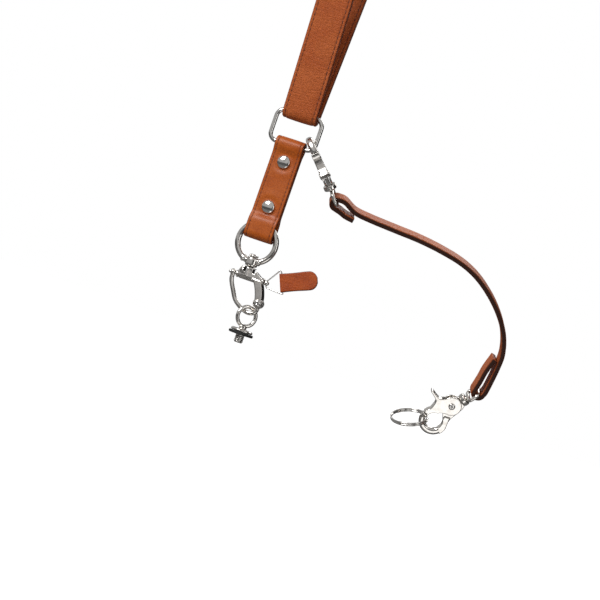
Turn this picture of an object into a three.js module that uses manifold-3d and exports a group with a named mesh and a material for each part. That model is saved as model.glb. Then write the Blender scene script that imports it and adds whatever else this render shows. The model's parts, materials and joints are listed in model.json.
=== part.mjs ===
// Leather camera neck strap, hanging as it is worn.
// One wide stitched band goes round the neck and through a rectangular ring. A short riveted tab
// joins that ring to a swivel snap shackle, whose jaw carries a screw eye for a tripod socket.
// A narrow tether with a trigger snap at each end leaves the ring's lower corner, and its far
// snap holds a split ring. Units are millimetres, +Z is up, +X runs across the band and the
// origin is the highest point of the neck band's inner face, where the neck carries it.
import * as THREE from "three";
import { mergeVertices } from "three/addons/utils/BufferGeometryUtils.js";
import Module from "manifold-3d";

const wasm = await Module();
wasm.setup();

// Fits
const gap = 0.3;
const foldGap = 0.48;
const edgeBevel = 0.4;

// Neck band
const neckRadius = 66;
const neckArmDrop = 484;
const neckBandWidth = 24.5;
const neckBandThickness = 3.2;

// Rectangular ring
const ringWire = 3;
const ringInnerWidth = 29.8;
const ringInnerHeight = 19;
const ringCornerRadius = 5.5;

// Ring tab and its two screws
const tabWidth = 20.4;
const tabThickness = 2.4;
const tabFoldSpacing = 62.6;
const upperScrewDrop = 12.3;
const lowerScrewRise = 18.6;
const screwCapDiameter = 9;
const screwCapHeight = 1.9;
const screwPostDiameter = 4;
const screwSlotWidth = 1;
const tabSeamGap = 0.6;

// Bail and the swivel stem that turns in its boss
const bailWire = 4;
const bailInnerDiameter = 22.6;
const bossDiameter = 8.6;
const bossHeight = 6.6;
const stemDiameter = 4;
const stemHeadDiameter = 6.4;
const stemHeadHeight = 1.8;
const swivelOffset = 1.2;

// Shackle body
const archTopWidth = 9.6;
const archDepth = 6.4;
const barrelDrop = 23.5;
const barrelDiameter = 5;
const barrelLeft = -6.4;
const barrelRight = 14;
const windowWidth = 2.2;
const windowHeight = 3.2;
const legTopWidth = 7;
const legWaist = 4.4;
const hingeSide = 15;
const hingeDrop = 14.6;
const hingeBossRadius = 3.3;
const hingeForkWidth = 7.4;
const jawLugWidth = 3.2;
const hingePinDiameter = 2.6;
const hingeHeadDiameter = 4.6;
const hingeHeadHeight = 1.1;

// Jaw
const jawWire = 3;
const jawBossDiameter = 4.6;
const jawBossLength = 3.6;

// Spring plunger, its pull wire and pull tab
const plungerDiameter = 2.2;
const plungerTip = 1.2;
const plungerHeadDiameter = 3.4;
const plungerHeadLength = 3;
const pullWire = 0.9;
const pullTabLength = 26;
const pullTabWidth = 12.7;
const pullTabThickness = 2.8;
const pullTabTilt = 23;
const pullTabReach = 8.6;
const pullTabRise = 2.9;
const pullTabWall = 1.1;

// Screw eye and its pad
const eyeWire = 2.7;
const eyeInnerDiameter = 10.6;
const eyeTurn = 42;
const eyeNeckDiameter = 5;
const eyeFlangeDiameter = 15;
const eyeFlangeHeight = 1.8;
const padDiameter = 17;
const padHeight = 1.8;
const studDiameter = 6.35;
const studLength = 5.6;

// Trigger snaps
const hookOuterRadius = 10.3;
const hookInnerRadius = 6.1;
const hookShift = 0.6;
const hookThickness = 4.8;
const tongueThickness = 2.4;
const rivetHeight = 16.4;
const rivetSide = -1.4;
const rivetDiameter = 2.6;
const rivetHeadDiameter = 4.8;
const rivetHeadHeight = 0.8;
const leverHubRadius = 7;
const leverCheek = 1.3;
const leverMouthAngle = 190;
const hornReach = 17.4;
const hornThickness = 2.6;
const collarDiameter = 9;
const collarHeight = 3.4;
const collarBase = 24.3;
const swivelPostDiameter = 3.2;
const swivelHeadDiameter = 5.8;
const swivelWall = 0.8;
const snapEyeWire = 2.6;
const snapEyeLength = 5.6;

// Tether
const tetherWidth = 12;
const tetherThickness = 3.4;
const tetherYaw = 21;
const tetherPitch = 19.5;
const upperTail = 15;
const lowerTail = 27;
const tailSpread = 1.8;
const upperSnapLean = 136.5;
const lowerSnapLean = 34.7;
const upperSnapTurn = 84;
const hookCornerAngle = -34;
const hookSlack = 1.2;

// Split ring
const splitWire = 1.35;
const splitTurnGap = 0.15;
const splitOuterDiameter = 27;
const splitDroop = 19;
const splitSeatAngle = 215;

// The tether's centre line between its two folds, in its own plane: x runs from the ring and
// z is up, both counted from the wire that the upper hook holds.
const tetherRoute = [
  { x: 42, z: -30.9 },
  { x: 55, z: -32.4 },
  { x: 72, z: -33.3 },
  { x: 90, z: -34.2 },
  { x: 107, z: -36.4 },
  { x: 122.5, z: -39.8 },
  { x: 136, z: -45.6 },
  { x: 149, z: -54.9 },
  { x: 160, z: -65.8 },
  { x: 168.2, z: -77.6 },
  { x: 173, z: -90.5 },
  { x: 173.8, z: -102 },
];
const lowerBar = { x: 168.4, z: -124.4 };

const degrees = THREE.MathUtils.degToRad;

// Materials
const finish = (color, roughness, metalness) =>
  new THREE.MeshStandardMaterial({ color, roughness, metalness });
const tanLeather = finish(0xa8551f, 0.5, 0);
const chrome = finish(0xd8d8d8, 0.15, 1);
const darkRubber = finish(0x1c1a19, 0.7, 0);

// Solids and booleans
function toSolid(geometry) {
  const bare = geometry.index ? geometry.toNonIndexed() : geometry.clone();
  bare.deleteAttribute("normal");
  bare.deleteAttribute("uv");
  const merged = mergeVertices(bare, 1e-4);
  return new wasm.Manifold(
    new wasm.Mesh({
      numProp: 3,
      vertProperties: new Float32Array(merged.attributes.position.array),
      triVerts: new Uint32Array(merged.index.array),
    }),
  );
}

function toGeometry(solid) {
  const mesh = solid.getMesh();
  const geometry = new THREE.BufferGeometry();
  geometry.setAttribute("position", new THREE.BufferAttribute(mesh.vertProperties, mesh.numProp));
  geometry.setIndex(new THREE.BufferAttribute(mesh.triVerts, 1));
  geometry.computeVertexNormals();
  return geometry;
}

function build(added, cut = []) {
  let solid = toSolid(added[0]);
  for (const geometry of added.slice(1)) solid = solid.add(toSolid(geometry));
  for (const geometry of cut) solid = solid.subtract(toSolid(geometry));
  return toGeometry(solid);
}

function piece(name, geometry, material, place = [0, 0, 0]) {
  const mesh = new THREE.Mesh(geometry, material);
  mesh.name = name;
  mesh.position.set(...place);
  return mesh;
}

function group(place, children) {
  const made = new THREE.Group();
  made.position.set(...place);
  made.add(...children);
  return made;
}

// Basic shapes
function rod(diameter, from, to, axis, x = 0, z = 0, sides = 14) {
  const geometry = new THREE.CylinderGeometry(diameter / 2, diameter / 2, to - from, sides);
  const middle = (from + to) / 2;
  if (axis === "x") return geometry.rotateZ(-Math.PI / 2).translate(middle, x, z);
  if (axis === "y") return geometry.translate(x, middle, z);
  return geometry.rotateX(Math.PI / 2).translate(x, z, middle);
}

function block(width, depth, height, x, y, z) {
  return new THREE.BoxGeometry(width, depth, height).translate(x, y, z);
}

// A turned piece: profile rows are [radius, height], and the axis is Z.
function turned(rows, sides = 16) {
  const points = rows.map(([radius, height]) => new THREE.Vector2(radius, height));
  return new THREE.LatheGeometry(points, sides).rotateX(Math.PI / 2);
}

// The outline's own points, without the doubled ones where two of its curves meet.
function distinct(points) {
  return points.filter((point, i) => point.distanceTo(points.at(i - 1)) > 0.02);
}

// A flat plate of an XZ outline, centred on Y = 0.
function plate(outline, thickness, bevel = edgeBevel, curveSegments = 6) {
  const { shape: rim, holes } = outline.extractPoints(curveSegments);
  const shape = new THREE.Shape(distinct(rim));
  shape.holes = holes.map((hole) => new THREE.Path(distinct(hole)));
  const geometry = new THREE.ExtrudeGeometry(shape, {
    depth: thickness - 2 * bevel,
    bevelEnabled: true,
    bevelThickness: bevel,
    bevelSize: bevel,
    bevelOffset: -bevel,
    bevelSegments: 1,
  });
  return geometry.rotateX(Math.PI / 2).translate(0, thickness / 2 - bevel, 0);
}

// A strap seen from its edge: centre line samples of position and normal make its outline.
const offset = (sample, distance) =>
  new THREE.Vector2().copy(sample.point).addScaledVector(sample.normal, distance);

function strapShape(samples, thickness) {
  const left = samples.map((sample) => offset(sample, thickness / 2));
  const right = samples.map((sample) => offset(sample, -thickness / 2)).reverse();
  return new THREE.Shape([...left, ...right]);
}

function loopShape(samples, thickness) {
  const shape = new THREE.Shape(samples.map((sample) => offset(sample, thickness / 2)));
  shape.holes.push(new THREE.Path(samples.map((sample) => offset(sample, -thickness / 2))));
  return shape;
}

// Samples of an arc. The normal points away from its centre, or towards it when flip is -1.
function arc(x, z, radius, fromAngle, toAngle, steps, flip = 1) {
  return Array.from({ length: steps + 1 }, (_, i) => {
    const angle = degrees(fromAngle + ((toAngle - fromAngle) * i) / steps);
    const normal = new THREE.Vector2(Math.cos(angle), Math.sin(angle));
    const point = new THREE.Vector2(x, z).addScaledVector(normal, radius);
    return { point, normal: normal.multiplyScalar(flip) };
  });
}

// Samples of a curve, with the normal on the left of its direction.
function along(curve, steps) {
  return Array.from({ length: steps + 1 }, (_, i) => {
    const point = curve.getPoint(i / steps);
    const tangent = curve.getTangent(i / steps);
    return { point, normal: new THREE.Vector2(-tangent.y, tangent.x) };
  });
}

// The centre line of a wire bent round a polygon with rounded corners, counter-clockwise.
function roundedCorners(corners, radius, steps) {
  return corners.flatMap((corner, i) => {
    const before = corners[(i + corners.length - 1) % corners.length];
    const after = corners[(i + 1) % corners.length];
    const inward = new THREE.Vector2().subVectors(corner, before).normalize();
    const outward = new THREE.Vector2().subVectors(after, corner).normalize();
    const turn = Math.acos(THREE.MathUtils.clamp(inward.dot(outward), -1, 1));
    const start = new THREE.Vector2(inward.y, -inward.x).angle();
    const bisector = new THREE.Vector2().subVectors(outward, inward).normalize();
    const centre = new THREE.Vector2().copy(corner).addScaledVector(bisector, radius / Math.cos(turn / 2));
    const first = THREE.MathUtils.radToDeg(start);
    return arc(centre.x, centre.y, radius, first, first + THREE.MathUtils.radToDeg(turn), steps);
  });
}

function rectangleCorners(width, height) {
  const [w, h] = [width / 2, height / 2];
  return [[-w, -h], [w, -h], [w, h], [-w, h]].map(([x, z]) => new THREE.Vector2(x, z));
}

// A closed round wire along planar samples: a torus whose core follows them, in the XZ plane.
function wireLoop(samples, wire, sides = 10) {
  const geometry = new THREE.TorusGeometry(1, wire / 2, sides, samples.length);
  const place = geometry.attributes.position;
  let index = 0;
  for (let side = 0; side <= sides; side += 1) {
    const angle = (side / sides) * 2 * Math.PI;
    for (let i = 0; i <= samples.length; i += 1) {
      const point = offset(samples[i % samples.length], (wire / 2) * Math.cos(angle));
      place.setXYZ(index, point.x, point.y, (wire / 2) * Math.sin(angle));
      index += 1;
    }
  }
  return geometry.rotateX(Math.PI / 2);
}

function circleLoop(radius, steps) {
  return arc(0, 0, radius, 0, 360, steps).slice(0, steps);
}

// An open round wire along a curve in space.
function wireAlong(curve, wire, steps, sides = 10) {
  const section = new THREE.Shape().absarc(0, 0, wire / 2, 0, 2 * Math.PI, false);
  return new THREE.ExtrudeGeometry(section, { extrudePath: curve, steps, curveSegments: sides / 2 });
}

// Neck band: two straight arms that meet an arc over the neck and a small fold under the bar.
const foldRadius = ringWire / 2 + foldGap + neckBandThickness / 2;
const neckCentreRadius = neckRadius + neckBandThickness / 2;
const armLean = THREE.MathUtils.radToDeg(Math.asin((neckCentreRadius - foldRadius) / neckArmDrop));
const upperBarZ = -neckRadius - neckArmDrop;
const ringZ = upperBarZ - (ringInnerHeight + ringWire) / 2;
const lowerBarZ = ringZ - (ringInnerHeight + ringWire) / 2;

// Turns a profile drawn in X and Z into one in Y and Z, with its width along X.
const sideways = (geometry) => geometry.rotateZ(Math.PI / 2);

function makeNeckBand() {
  const line = [
    ...arc(0, -neckRadius, neckCentreRadius, -armLean, 180 + armLean, 36),
    ...arc(0, upperBarZ, foldRadius, 180 + armLean, 360 - armLean, 10),
  ];
  const band = plate(loopShape(line, neckBandThickness), neckBandWidth);
  return piece("neck_band", sideways(band), tanLeather);
}

function makeRectRing() {
  const corners = rectangleCorners(ringInnerWidth + ringWire, ringInnerHeight + ringWire);
  const wire = wireLoop(roundedCorners(corners, ringCornerRadius, 5), ringWire, 12);
  return piece("rect_ring", wire, chrome, [0, 0, ringZ]);
}

// Ring tab: one strip folded round the ring's lower bar and the bail, its ends butted behind.
const bailFoldZ = lowerBarZ - tabFoldSpacing;
const upperScrewZ = lowerBarZ - upperScrewDrop;
const lowerScrewZ = bailFoldZ + lowerScrewRise;
const ringFoldRadius = ringWire / 2 + foldGap + tabThickness / 2;
const bailPocket = bailWire / 2 + gap;
const bailFoldRadius = bailPocket + tabThickness / 2;
const clampHalf = (tabThickness + gap) / 2;
const clampMargin = screwCapDiameter / 2 + 1.4;
const bailRadius = (bailInnerDiameter + bailWire) / 2;
const foldSeat = Math.sqrt((bailInnerDiameter / 2) ** 2 - (tabWidth / 2 + gap) ** 2);
const bailZ = bailFoldZ - bailPocket - foldSeat;

function easedLayer(fromHalf, fromZ, toHalf, toZ, side, steps = 5) {
  const curve = new THREE.CubicBezierCurve(
    new THREE.Vector2(side * fromHalf, fromZ),
    new THREE.Vector2(side * fromHalf, (fromZ + toZ) / 2),
    new THREE.Vector2(side * toHalf, (fromZ + toZ) / 2),
    new THREE.Vector2(side * toHalf, toZ),
  );
  return along(curve, steps);
}

function makeRingTab() {
  const clampTop = upperScrewZ + clampMargin;
  const clampFoot = lowerScrewZ - clampMargin;
  const bailTop = bailZ + bailRadius;
  const seamZ = (upperScrewZ + lowerScrewZ) / 2;
  const layer = (side, z, direction) => ({
    point: new THREE.Vector2(side * clampHalf, z),
    normal: new THREE.Vector2(-direction, 0),
  });
  const line = [
    layer(1, seamZ + tabSeamGap / 2, 1),
    ...easedLayer(clampHalf, clampTop, ringFoldRadius, lowerBarZ, 1),
    ...arc(0, lowerBarZ, ringFoldRadius, 0, 180, 10, -1).slice(1),
    ...easedLayer(ringFoldRadius, lowerBarZ, clampHalf, clampTop, -1).slice(1),
    ...easedLayer(clampHalf, clampFoot, bailFoldRadius, bailTop, -1),
    ...arc(0, bailFoldZ, bailFoldRadius, 180, 360, 10, -1),
    ...easedLayer(bailFoldRadius, bailTop, clampHalf, clampFoot, 1),
    layer(1, seamZ - tabSeamGap / 2, 1),
  ];
  const strip = sideways(plate(strapShape(line, tabThickness), tabWidth));
  const reach = 2 * clampHalf + tabThickness;
  const bores = [upperScrewZ, lowerScrewZ].map((z) =>
    rod(screwPostDiameter + 2 * gap, -reach, reach, "y", 0, z),
  );
  return piece("ring_tab", build([strip], bores), tanLeather);
}

// A post with a domed cap in front and a slotted domed cap behind.
function makeTabScrew(name, z) {
  const seat = clampHalf + tabThickness / 2 + gap;
  const cap = screwCapDiameter / 2;
  const post = screwPostDiameter / 2;
  const dome = [[cap, 0.15], [cap * 0.97, 0.4], [cap * 0.8, 0.72], [cap * 0.45, 0.94], [0, 1]];
  const front = dome.map(([radius, share]) => [radius, seat + share * screwCapHeight]);
  const back = dome.map(([radius, share]) => [radius, -seat - share * screwCapHeight]).reverse();
  const rows = [...back, [cap, -seat], [post, -seat], [post, seat], [cap, seat], ...front];
  const body = turned(rows).rotateX(Math.PI / 2);
  const slotY = seat + screwCapHeight;
  const slot = block(screwCapDiameter * 0.6, screwCapHeight, screwSlotWidth, 0, slotY, 0);
  return piece(name, build([body], [slot]), chrome, [0, 0, z]);
}

// Bail: a round ring whose boss at the foot lets the swivel stem turn.
const bossZ = -bailRadius;

function makeBail() {
  const ring = wireLoop(circleLoop(bailRadius, 28), bailWire, 8);
  const boss = rod(bossDiameter, bossZ - bossHeight / 2, bossZ + bossHeight / 2, "z", swivelOffset, 0, 20);
  const reach = bossHeight;
  const bore = rod(stemDiameter + 2 * gap, bossZ - reach, bossZ + reach, "z", swivelOffset, 0, 16);
  return piece("bail", build([ring, boss], [bore]), chrome, [0, 0, bailZ]);
}

// Shackle body: stem, arch with two windows, plunger barrel and the forked leg of the hinge.
const barrelZ = -barrelDrop;
const hingeZ = barrelZ - hingeDrop;
const archTopZ = bossZ - bossHeight / 2 - gap;

function makeShackleBody() {
  const arch = new THREE.Shape();
  arch.moveTo(swivelOffset - archTopWidth / 2, archTopZ);
  arch.quadraticCurveTo(barrelLeft + 1, (archTopZ + barrelZ) / 2, barrelLeft + 0.8, barrelZ + 1);
  arch.lineTo(barrelLeft + 0.8, barrelZ - 1);
  arch.lineTo(barrelRight - 1.6, barrelZ - 1);
  arch.lineTo(barrelRight - 1.6, barrelZ + 1.4);
  arch.quadraticCurveTo(barrelRight - 4, (archTopZ + barrelZ) / 2, swivelOffset + archTopWidth / 2, archTopZ);
  const leg = new THREE.Shape();
  leg.moveTo(barrelRight - 1 - legTopWidth, barrelZ);
  leg.quadraticCurveTo(hingeSide - legWaist, barrelZ - hingeDrop * 0.35, hingeSide - legWaist / 2, hingeZ);
  leg.lineTo(hingeSide + legWaist / 2, hingeZ);
  leg.quadraticCurveTo(hingeSide + legWaist / 2, barrelZ - hingeDrop * 0.6, barrelRight - 1.5, barrelZ);
  const windowZ = (archTopZ + barrelZ + barrelDiameter / 2) / 2;
  const middle = (barrelLeft + barrelRight + 2 * swivelOffset) / 4;
  const windows = [-1, 1].map((side) =>
    block(windowWidth, 2 * archDepth, windowHeight, middle + side * archTopWidth * 0.33, 0, windowZ),
  );
  const stemTop = bossZ + bossHeight / 2 + gap;
  const forkHalf = hingeForkWidth / 2;
  const slotWidth = jawLugWidth + 2 * gap;
  const slotRadius = hingeBossRadius + gap;
  return build(
    [
      plate(arch, archDepth, 0.8),
      rod(archTopWidth * 0.86, archTopZ - 1.6, archTopZ, "z", swivelOffset, 0, 20),
      rod(stemDiameter, archTopZ - 1, stemTop + stemHeadHeight / 2, "z", swivelOffset),
      rod(stemHeadDiameter, stemTop, stemTop + stemHeadHeight, "z", swivelOffset),
      rod(barrelDiameter, barrelLeft, barrelRight, "x", 0, barrelZ),
      plate(leg, hingeForkWidth, 1),
      rod(2 * hingeBossRadius, -forkHalf, forkHalf, "y", hingeSide, hingeZ, 20),
    ],
    [
      ...windows,
      rod(plungerDiameter + 2 * gap, barrelLeft - 1, barrelRight + 1, "x", 0, barrelZ),
      rod(2 * slotRadius, -slotWidth / 2, slotWidth / 2, "y", hingeSide, hingeZ, 20),
      rod(hingePinDiameter + 2 * gap, -hingeForkWidth, hingeForkWidth, "y", hingeSide, hingeZ),
    ],
  );
}

// A rivet along Y with a low domed head on each side.
function makeRivet(diameter, headDiameter, headHeight, grip) {
  const [shank, head, seat] = [diameter / 2, headDiameter / 2, grip / 2 + gap];
  const domeRim = [head * 0.95, seat + headHeight * 0.5];
  const domeTop = [head * 0.6, seat + headHeight];
  const half = [[shank, seat], [head, seat], domeRim, domeTop];
  const rows = [
    [0, -seat - headHeight],
    ...half.map(([radius, height]) => [radius, -height]).reverse(),
    ...half,
    [0, seat + headHeight],
  ];
  return turned(rows, 14).rotateX(Math.PI / 2);
}

// Jaw: a lug in the fork, a round arm below it and a drilled boss that the plunger locks.
const jawBossX = barrelLeft - gap - 0.4 - jawBossLength / 2;
const jawLine = new THREE.CatmullRomCurve3([
  new THREE.Vector3(hingeSide, 0, hingeZ),
  new THREE.Vector3(hingeSide + 0.2, 0, hingeZ - 5),
  new THREE.Vector3(hingeSide - 2.2, 0, hingeZ - 7.6),
  new THREE.Vector3(hingeSide - 7.4, 0, hingeZ - 7.7),
  new THREE.Vector3(hingeSide - 15.4, 0, hingeZ - 3.4),
  new THREE.Vector3(hingeSide - 20, 0, hingeZ + 3.2),
  new THREE.Vector3(jawBossX + 0.5, 0, barrelZ - 5),
  new THREE.Vector3(jawBossX, 0, barrelZ),
]);
const jawLowX = hingeSide - 4.8;
const jawLowZ = hingeZ - 7.35;

function makeJaw() {
  const boss = turned([
    [0, -jawBossLength / 2],
    [jawBossDiameter * 0.38, -jawBossLength / 2],
    [jawBossDiameter / 2, -jawBossLength / 5],
    [jawBossDiameter / 2, jawBossLength / 5],
    [jawBossDiameter * 0.38, jawBossLength / 2],
    [0, jawBossLength / 2],
  ]).rotateY(Math.PI / 2);
  return build(
    [
      wireAlong(jawLine, jawWire, 20, 8),
      rod(2 * hingeBossRadius, -jawLugWidth / 2, jawLugWidth / 2, "y", hingeSide, hingeZ, 20),
      boss.translate(jawBossX, 0, barrelZ),
    ],
    [
      rod(plungerDiameter + 2 * gap, jawBossX - jawBossLength, jawBossX + jawBossLength, "x", 0, barrelZ),
      rod(hingePinDiameter + 2 * gap, -hingeForkWidth, hingeForkWidth, "y", hingeSide, hingeZ),
    ],
  );
}

// Plunger pin through barrel and jaw boss, with a cross-drilled head for the pull wire.
const plungerLeft = jawBossX - jawBossLength / 2 - plungerTip;
const plungerHeadLeft = barrelRight + gap;
const pullApexX = plungerHeadLeft + plungerHeadLength / 2;

function makePlunger() {
  const radius = plungerDiameter / 2;
  const head = plungerHeadDiameter / 2;
  const headRight = plungerHeadLeft + plungerHeadLength;
  const rows = [
    [0, plungerLeft],
    [radius * 0.6, plungerLeft],
    [radius, plungerLeft + radius * 0.6],
    [radius, plungerHeadLeft],
    [head, plungerHeadLeft],
    [head, headRight - 0.6],
    [head * 0.6, headRight],
    [0, headRight],
  ];
  const pin = turned(rows, 14).rotateY(Math.PI / 2);
  const wireHole = rod(pullWire + 2 * gap, -head * 2, head * 2, "z", pullApexX, 0, 10);
  return build([pin], [wireHole]).translate(0, 0, barrelZ);
}

// The pull tab's own frame: its root edge is at x = 0 and it points along +X.
const pullRootX = pullApexX + pullTabReach;
const pullRootZ = barrelZ + pullTabRise;
const pullWireInset = pullTabWall + pullWire / 2;

function inPullTab(geometry) {
  return geometry.rotateY(-degrees(pullTabTilt)).translate(pullRootX, 0, pullRootZ);
}

function makePullTab() {
  const half = pullTabWidth / 2;
  const round = half * 0.82;
  const shape = new THREE.Shape();
  shape.moveTo(0, -half);
  shape.lineTo(pullTabLength - round, -half);
  shape.quadraticCurveTo(pullTabLength, -half, pullTabLength, 0);
  shape.quadraticCurveTo(pullTabLength, half, pullTabLength - round, half);
  shape.lineTo(0, half);
  const bore = rod(pullWire + 2 * gap, -pullTabWidth, pullTabWidth, "z", pullWireInset, 0, 10);
  return build([inPullTab(plate(shape, pullTabThickness))], [inPullTab(bore)]);
}

// A thin wire triangle: through the plunger's head and along the pull tab's root.
function makePullWire() {
  const tilt = degrees(pullTabTilt);
  const corner = (share) => {
    const side = share * (pullTabWidth / 2 + 2 * pullWire);
    const x = pullRootX + pullWireInset * Math.cos(tilt) - side * Math.sin(tilt);
    return new THREE.Vector2(x, pullRootZ + pullWireInset * Math.sin(tilt) + side * Math.cos(tilt));
  };
  const apex = plungerHeadDiameter / 2 + pullWire;
  const corners = [
    new THREE.Vector2(pullApexX, barrelZ - apex),
    corner(-1),
    corner(1),
    new THREE.Vector2(pullApexX, barrelZ + apex),
  ];
  return wireLoop(roundedCorners(corners, pullWire * 0.9, 3), pullWire, 8);
}

// Screw eye: a ring that hangs on the jaw, a flange and the stud for a tripod socket.
const eyeRadius = (eyeInnerDiameter + eyeWire) / 2;
const eyeDrop = jawWire / 2 + gap - eyeInnerDiameter / 2;
const eyeZ = jawLowZ + eyeDrop;
const flangeTopZ = -eyeRadius - eyeWire / 2 - 0.9;
const flangeFootZ = flangeTopZ - eyeFlangeHeight;
const padFootZ = flangeFootZ - gap - padHeight;

function makeScrewEye() {
  const ring = wireLoop(circleLoop(eyeRadius, 22), eyeWire, 8).rotateZ(degrees(eyeTurn));
  const stud = studDiameter / 2;
  const foot = padFootZ - studLength;
  const screw = turned([
    [0, foot],
    [stud - 0.8, foot],
    [stud, foot + 0.8],
    [stud, flangeFootZ],
    [eyeFlangeDiameter / 2, flangeFootZ],
    [eyeFlangeDiameter / 2, flangeTopZ - 0.6],
    [eyeFlangeDiameter / 2 - 0.6, flangeTopZ],
    [eyeNeckDiameter / 2, flangeTopZ],
    [eyeNeckDiameter / 2, -eyeRadius],
    [0, -eyeRadius],
  ]);
  return piece("screw_eye", build([ring, screw]), chrome);
}

function makeEyePad() {
  const inner = studDiameter / 2 + gap;
  const outer = padDiameter / 2;
  const top = flangeFootZ - gap;
  const rows = [[inner, padFootZ], [outer, padFootZ], [outer, top], [inner, top], [inner, padFootZ]];
  return piece("eye_pad", turned(rows, 24), darkRubber);
}

function makeShackle() {
  const axisX = [swivelOffset, 0, 0];
  const jaw = piece("jaw", makeJaw(), chrome);
  const pin = makeRivet(hingePinDiameter, hingeHeadDiameter, hingeHeadHeight, hingeForkWidth);
  return group([0, 0, bailZ], [
    piece("shackle_body", makeShackleBody().translate(-swivelOffset, 0, 0), chrome, axisX),
    piece("hinge_pin", pin, chrome, [hingeSide, 0, hingeZ]),
    jaw,
    group([jawLowX, 0, eyeZ], [makeScrewEye(), makeEyePad()]),
    piece("plunger", makePlunger(), chrome),
    piece("pull_wire", makePullWire(), chrome),
    piece("pull_tab", makePullTab(), tanLeather),
  ]);
}

// Trigger snap, in its own frame: Z runs from the hook's hole to the eye, and the hook, its
// mouth and the lever's horn lie in the XZ plane on the side of -X.
const hookCentre = { x: hookShift + 0.5, z: -0.8 };
const onCircle = (centre, radius, angle) => [
  centre.x + radius * Math.cos(degrees(angle)),
  centre.z + radius * Math.sin(degrees(angle)),
];
function lineRound(shape, centre, radius, from, to, steps) {
  for (let i = 0; i <= steps; i += 1) {
    const point = onCircle(centre, radius, from + ((to - from) * i) / steps);
    if (shape.curves.length + i === 0) shape.moveTo(...point);
    else shape.lineTo(...point);
  }
}

const holeCentre = { x: hookShift, z: 0 };
const rivetCentre = { x: rivetSide, z: rivetHeight };
const spineAngle = 22;
const throatAngle = 62;
const leverSwing = leverHubRadius + 2.2;
const mouthGap = 4;

function makeHook() {
  const ring = new THREE.Shape();
  lineRound(ring, hookCentre, hookOuterRadius, leverMouthAngle, 360 + spineAngle, 15);
  lineRound(ring, rivetCentre, leverSwing, -42, -66, 2);
  lineRound(ring, holeCentre, hookInnerRadius, throatAngle, leverMouthAngle - 360, 14);
  const tongue = new THREE.Shape();
  const spine = hookCentre.x + hookOuterRadius;
  tongue.moveTo(...onCircle(holeCentre, hookInnerRadius, throatAngle));
  tongue.lineTo(spine * 0.82, 1);
  tongue.lineTo(spine * 0.6, rivetHeight * 0.6);
  tongue.lineTo(collarDiameter * 0.6, collarBase * 0.86);
  tongue.lineTo(collarDiameter * 0.4, collarBase + 0.5);
  tongue.lineTo(-collarDiameter * 0.4, collarBase + 0.5);
  tongue.lineTo(rivetSide - leverHubRadius * 0.72, rivetHeight + 1);
  tongue.lineTo(...onCircle(rivetCentre, leverHubRadius * 0.9, 235));
  const top = collarBase + collarHeight;
  const cavityRadius = swivelHeadDiameter / 2 + gap;
  const cavityFoot = collarBase + swivelWall;
  const cavityTop = top - swivelWall;
  return build(
    [
      plate(ring, hookThickness, 0.8),
      plate(tongue, tongueThickness, 0.3),
      rod(collarDiameter, collarBase, top, "z", 0, 0, 20),
    ],
    [
      rod(2 * cavityRadius, cavityFoot, cavityTop, "z"),
      rod(swivelPostDiameter + 2 * gap, cavityTop - 0.1, top + 1, "z"),
      rod(rivetDiameter + 2 * gap, -hookThickness, hookThickness, "y", rivetSide, rivetHeight),
    ],
  );
}

function makeLever() {
  const shape = new THREE.Shape();
  const nose = leverMouthAngle - mouthGap;
  const hornX = rivetSide - hornReach;
  const hornZ = hookOuterRadius + 1.2;
  const rootX = rivetSide - leverHubRadius * 1.15;
  lineRound(shape, hookCentre, hookOuterRadius, nose, 158, 2);
  shape.lineTo(rootX - 0.6, hornZ - hornThickness);
  shape.lineTo(rootX - 3, hornZ - hornThickness * 0.5);
  shape.lineTo(hornX, hornZ - hornThickness * 0.5);
  shape.lineTo(hornX - 0.8, hornZ - hornThickness * 0.1);
  shape.lineTo(hornX, hornZ + hornThickness * 0.3);
  shape.lineTo(rootX - 1.5, hornZ + hornThickness * 0.3);
  lineRound(shape, rivetCentre, leverHubRadius, 190, -60, 11);
  shape.lineTo(...onCircle(rivetCentre, leverHubRadius + 0.9, -90));
  lineRound(shape, holeCentre, hookInnerRadius, 122, nose, 3);
  const width = tongueThickness + 2 * gap + 2 * leverCheek;
  const slot = tongueThickness + 2 * gap;
  return build(
    [plate(shape, width, 0.5)],
    [
      rod(2 * (leverHubRadius + 1.6), -slot / 2, slot / 2, "y", rivetSide, rivetHeight, 24),
      rod(rivetDiameter + 2 * gap, -width, width, "y", rivetSide, rivetHeight),
    ],
  );
}

// The swivel eye: a rectangular loop across the strap, its bar along Y, on a headed post.
const loopFootZ = collarBase + collarHeight + gap + snapEyeWire / 2;
const strapBarZ = loopFootZ + snapEyeLength + snapEyeWire;

function makeSnapEye() {
  const loopWidth = tetherWidth + 2 * gap + snapEyeWire + 0.8;
  const corners = rectangleCorners(loopWidth, snapEyeLength + snapEyeWire);
  const loop = wireLoop(roundedCorners(corners, 2.4, 4), snapEyeWire).rotateZ(Math.PI / 2);
  const headFoot = collarBase + swivelWall + gap;
  const headTop = collarBase + collarHeight - swivelWall - gap;
  return build([
    loop.translate(0, 0, (loopFootZ + strapBarZ) / 2),
    rod(swivelHeadDiameter, headFoot, headTop, "z"),
    rod(swivelPostDiameter, headFoot + 0.2, loopFootZ, "z"),
  ]);
}

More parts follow.
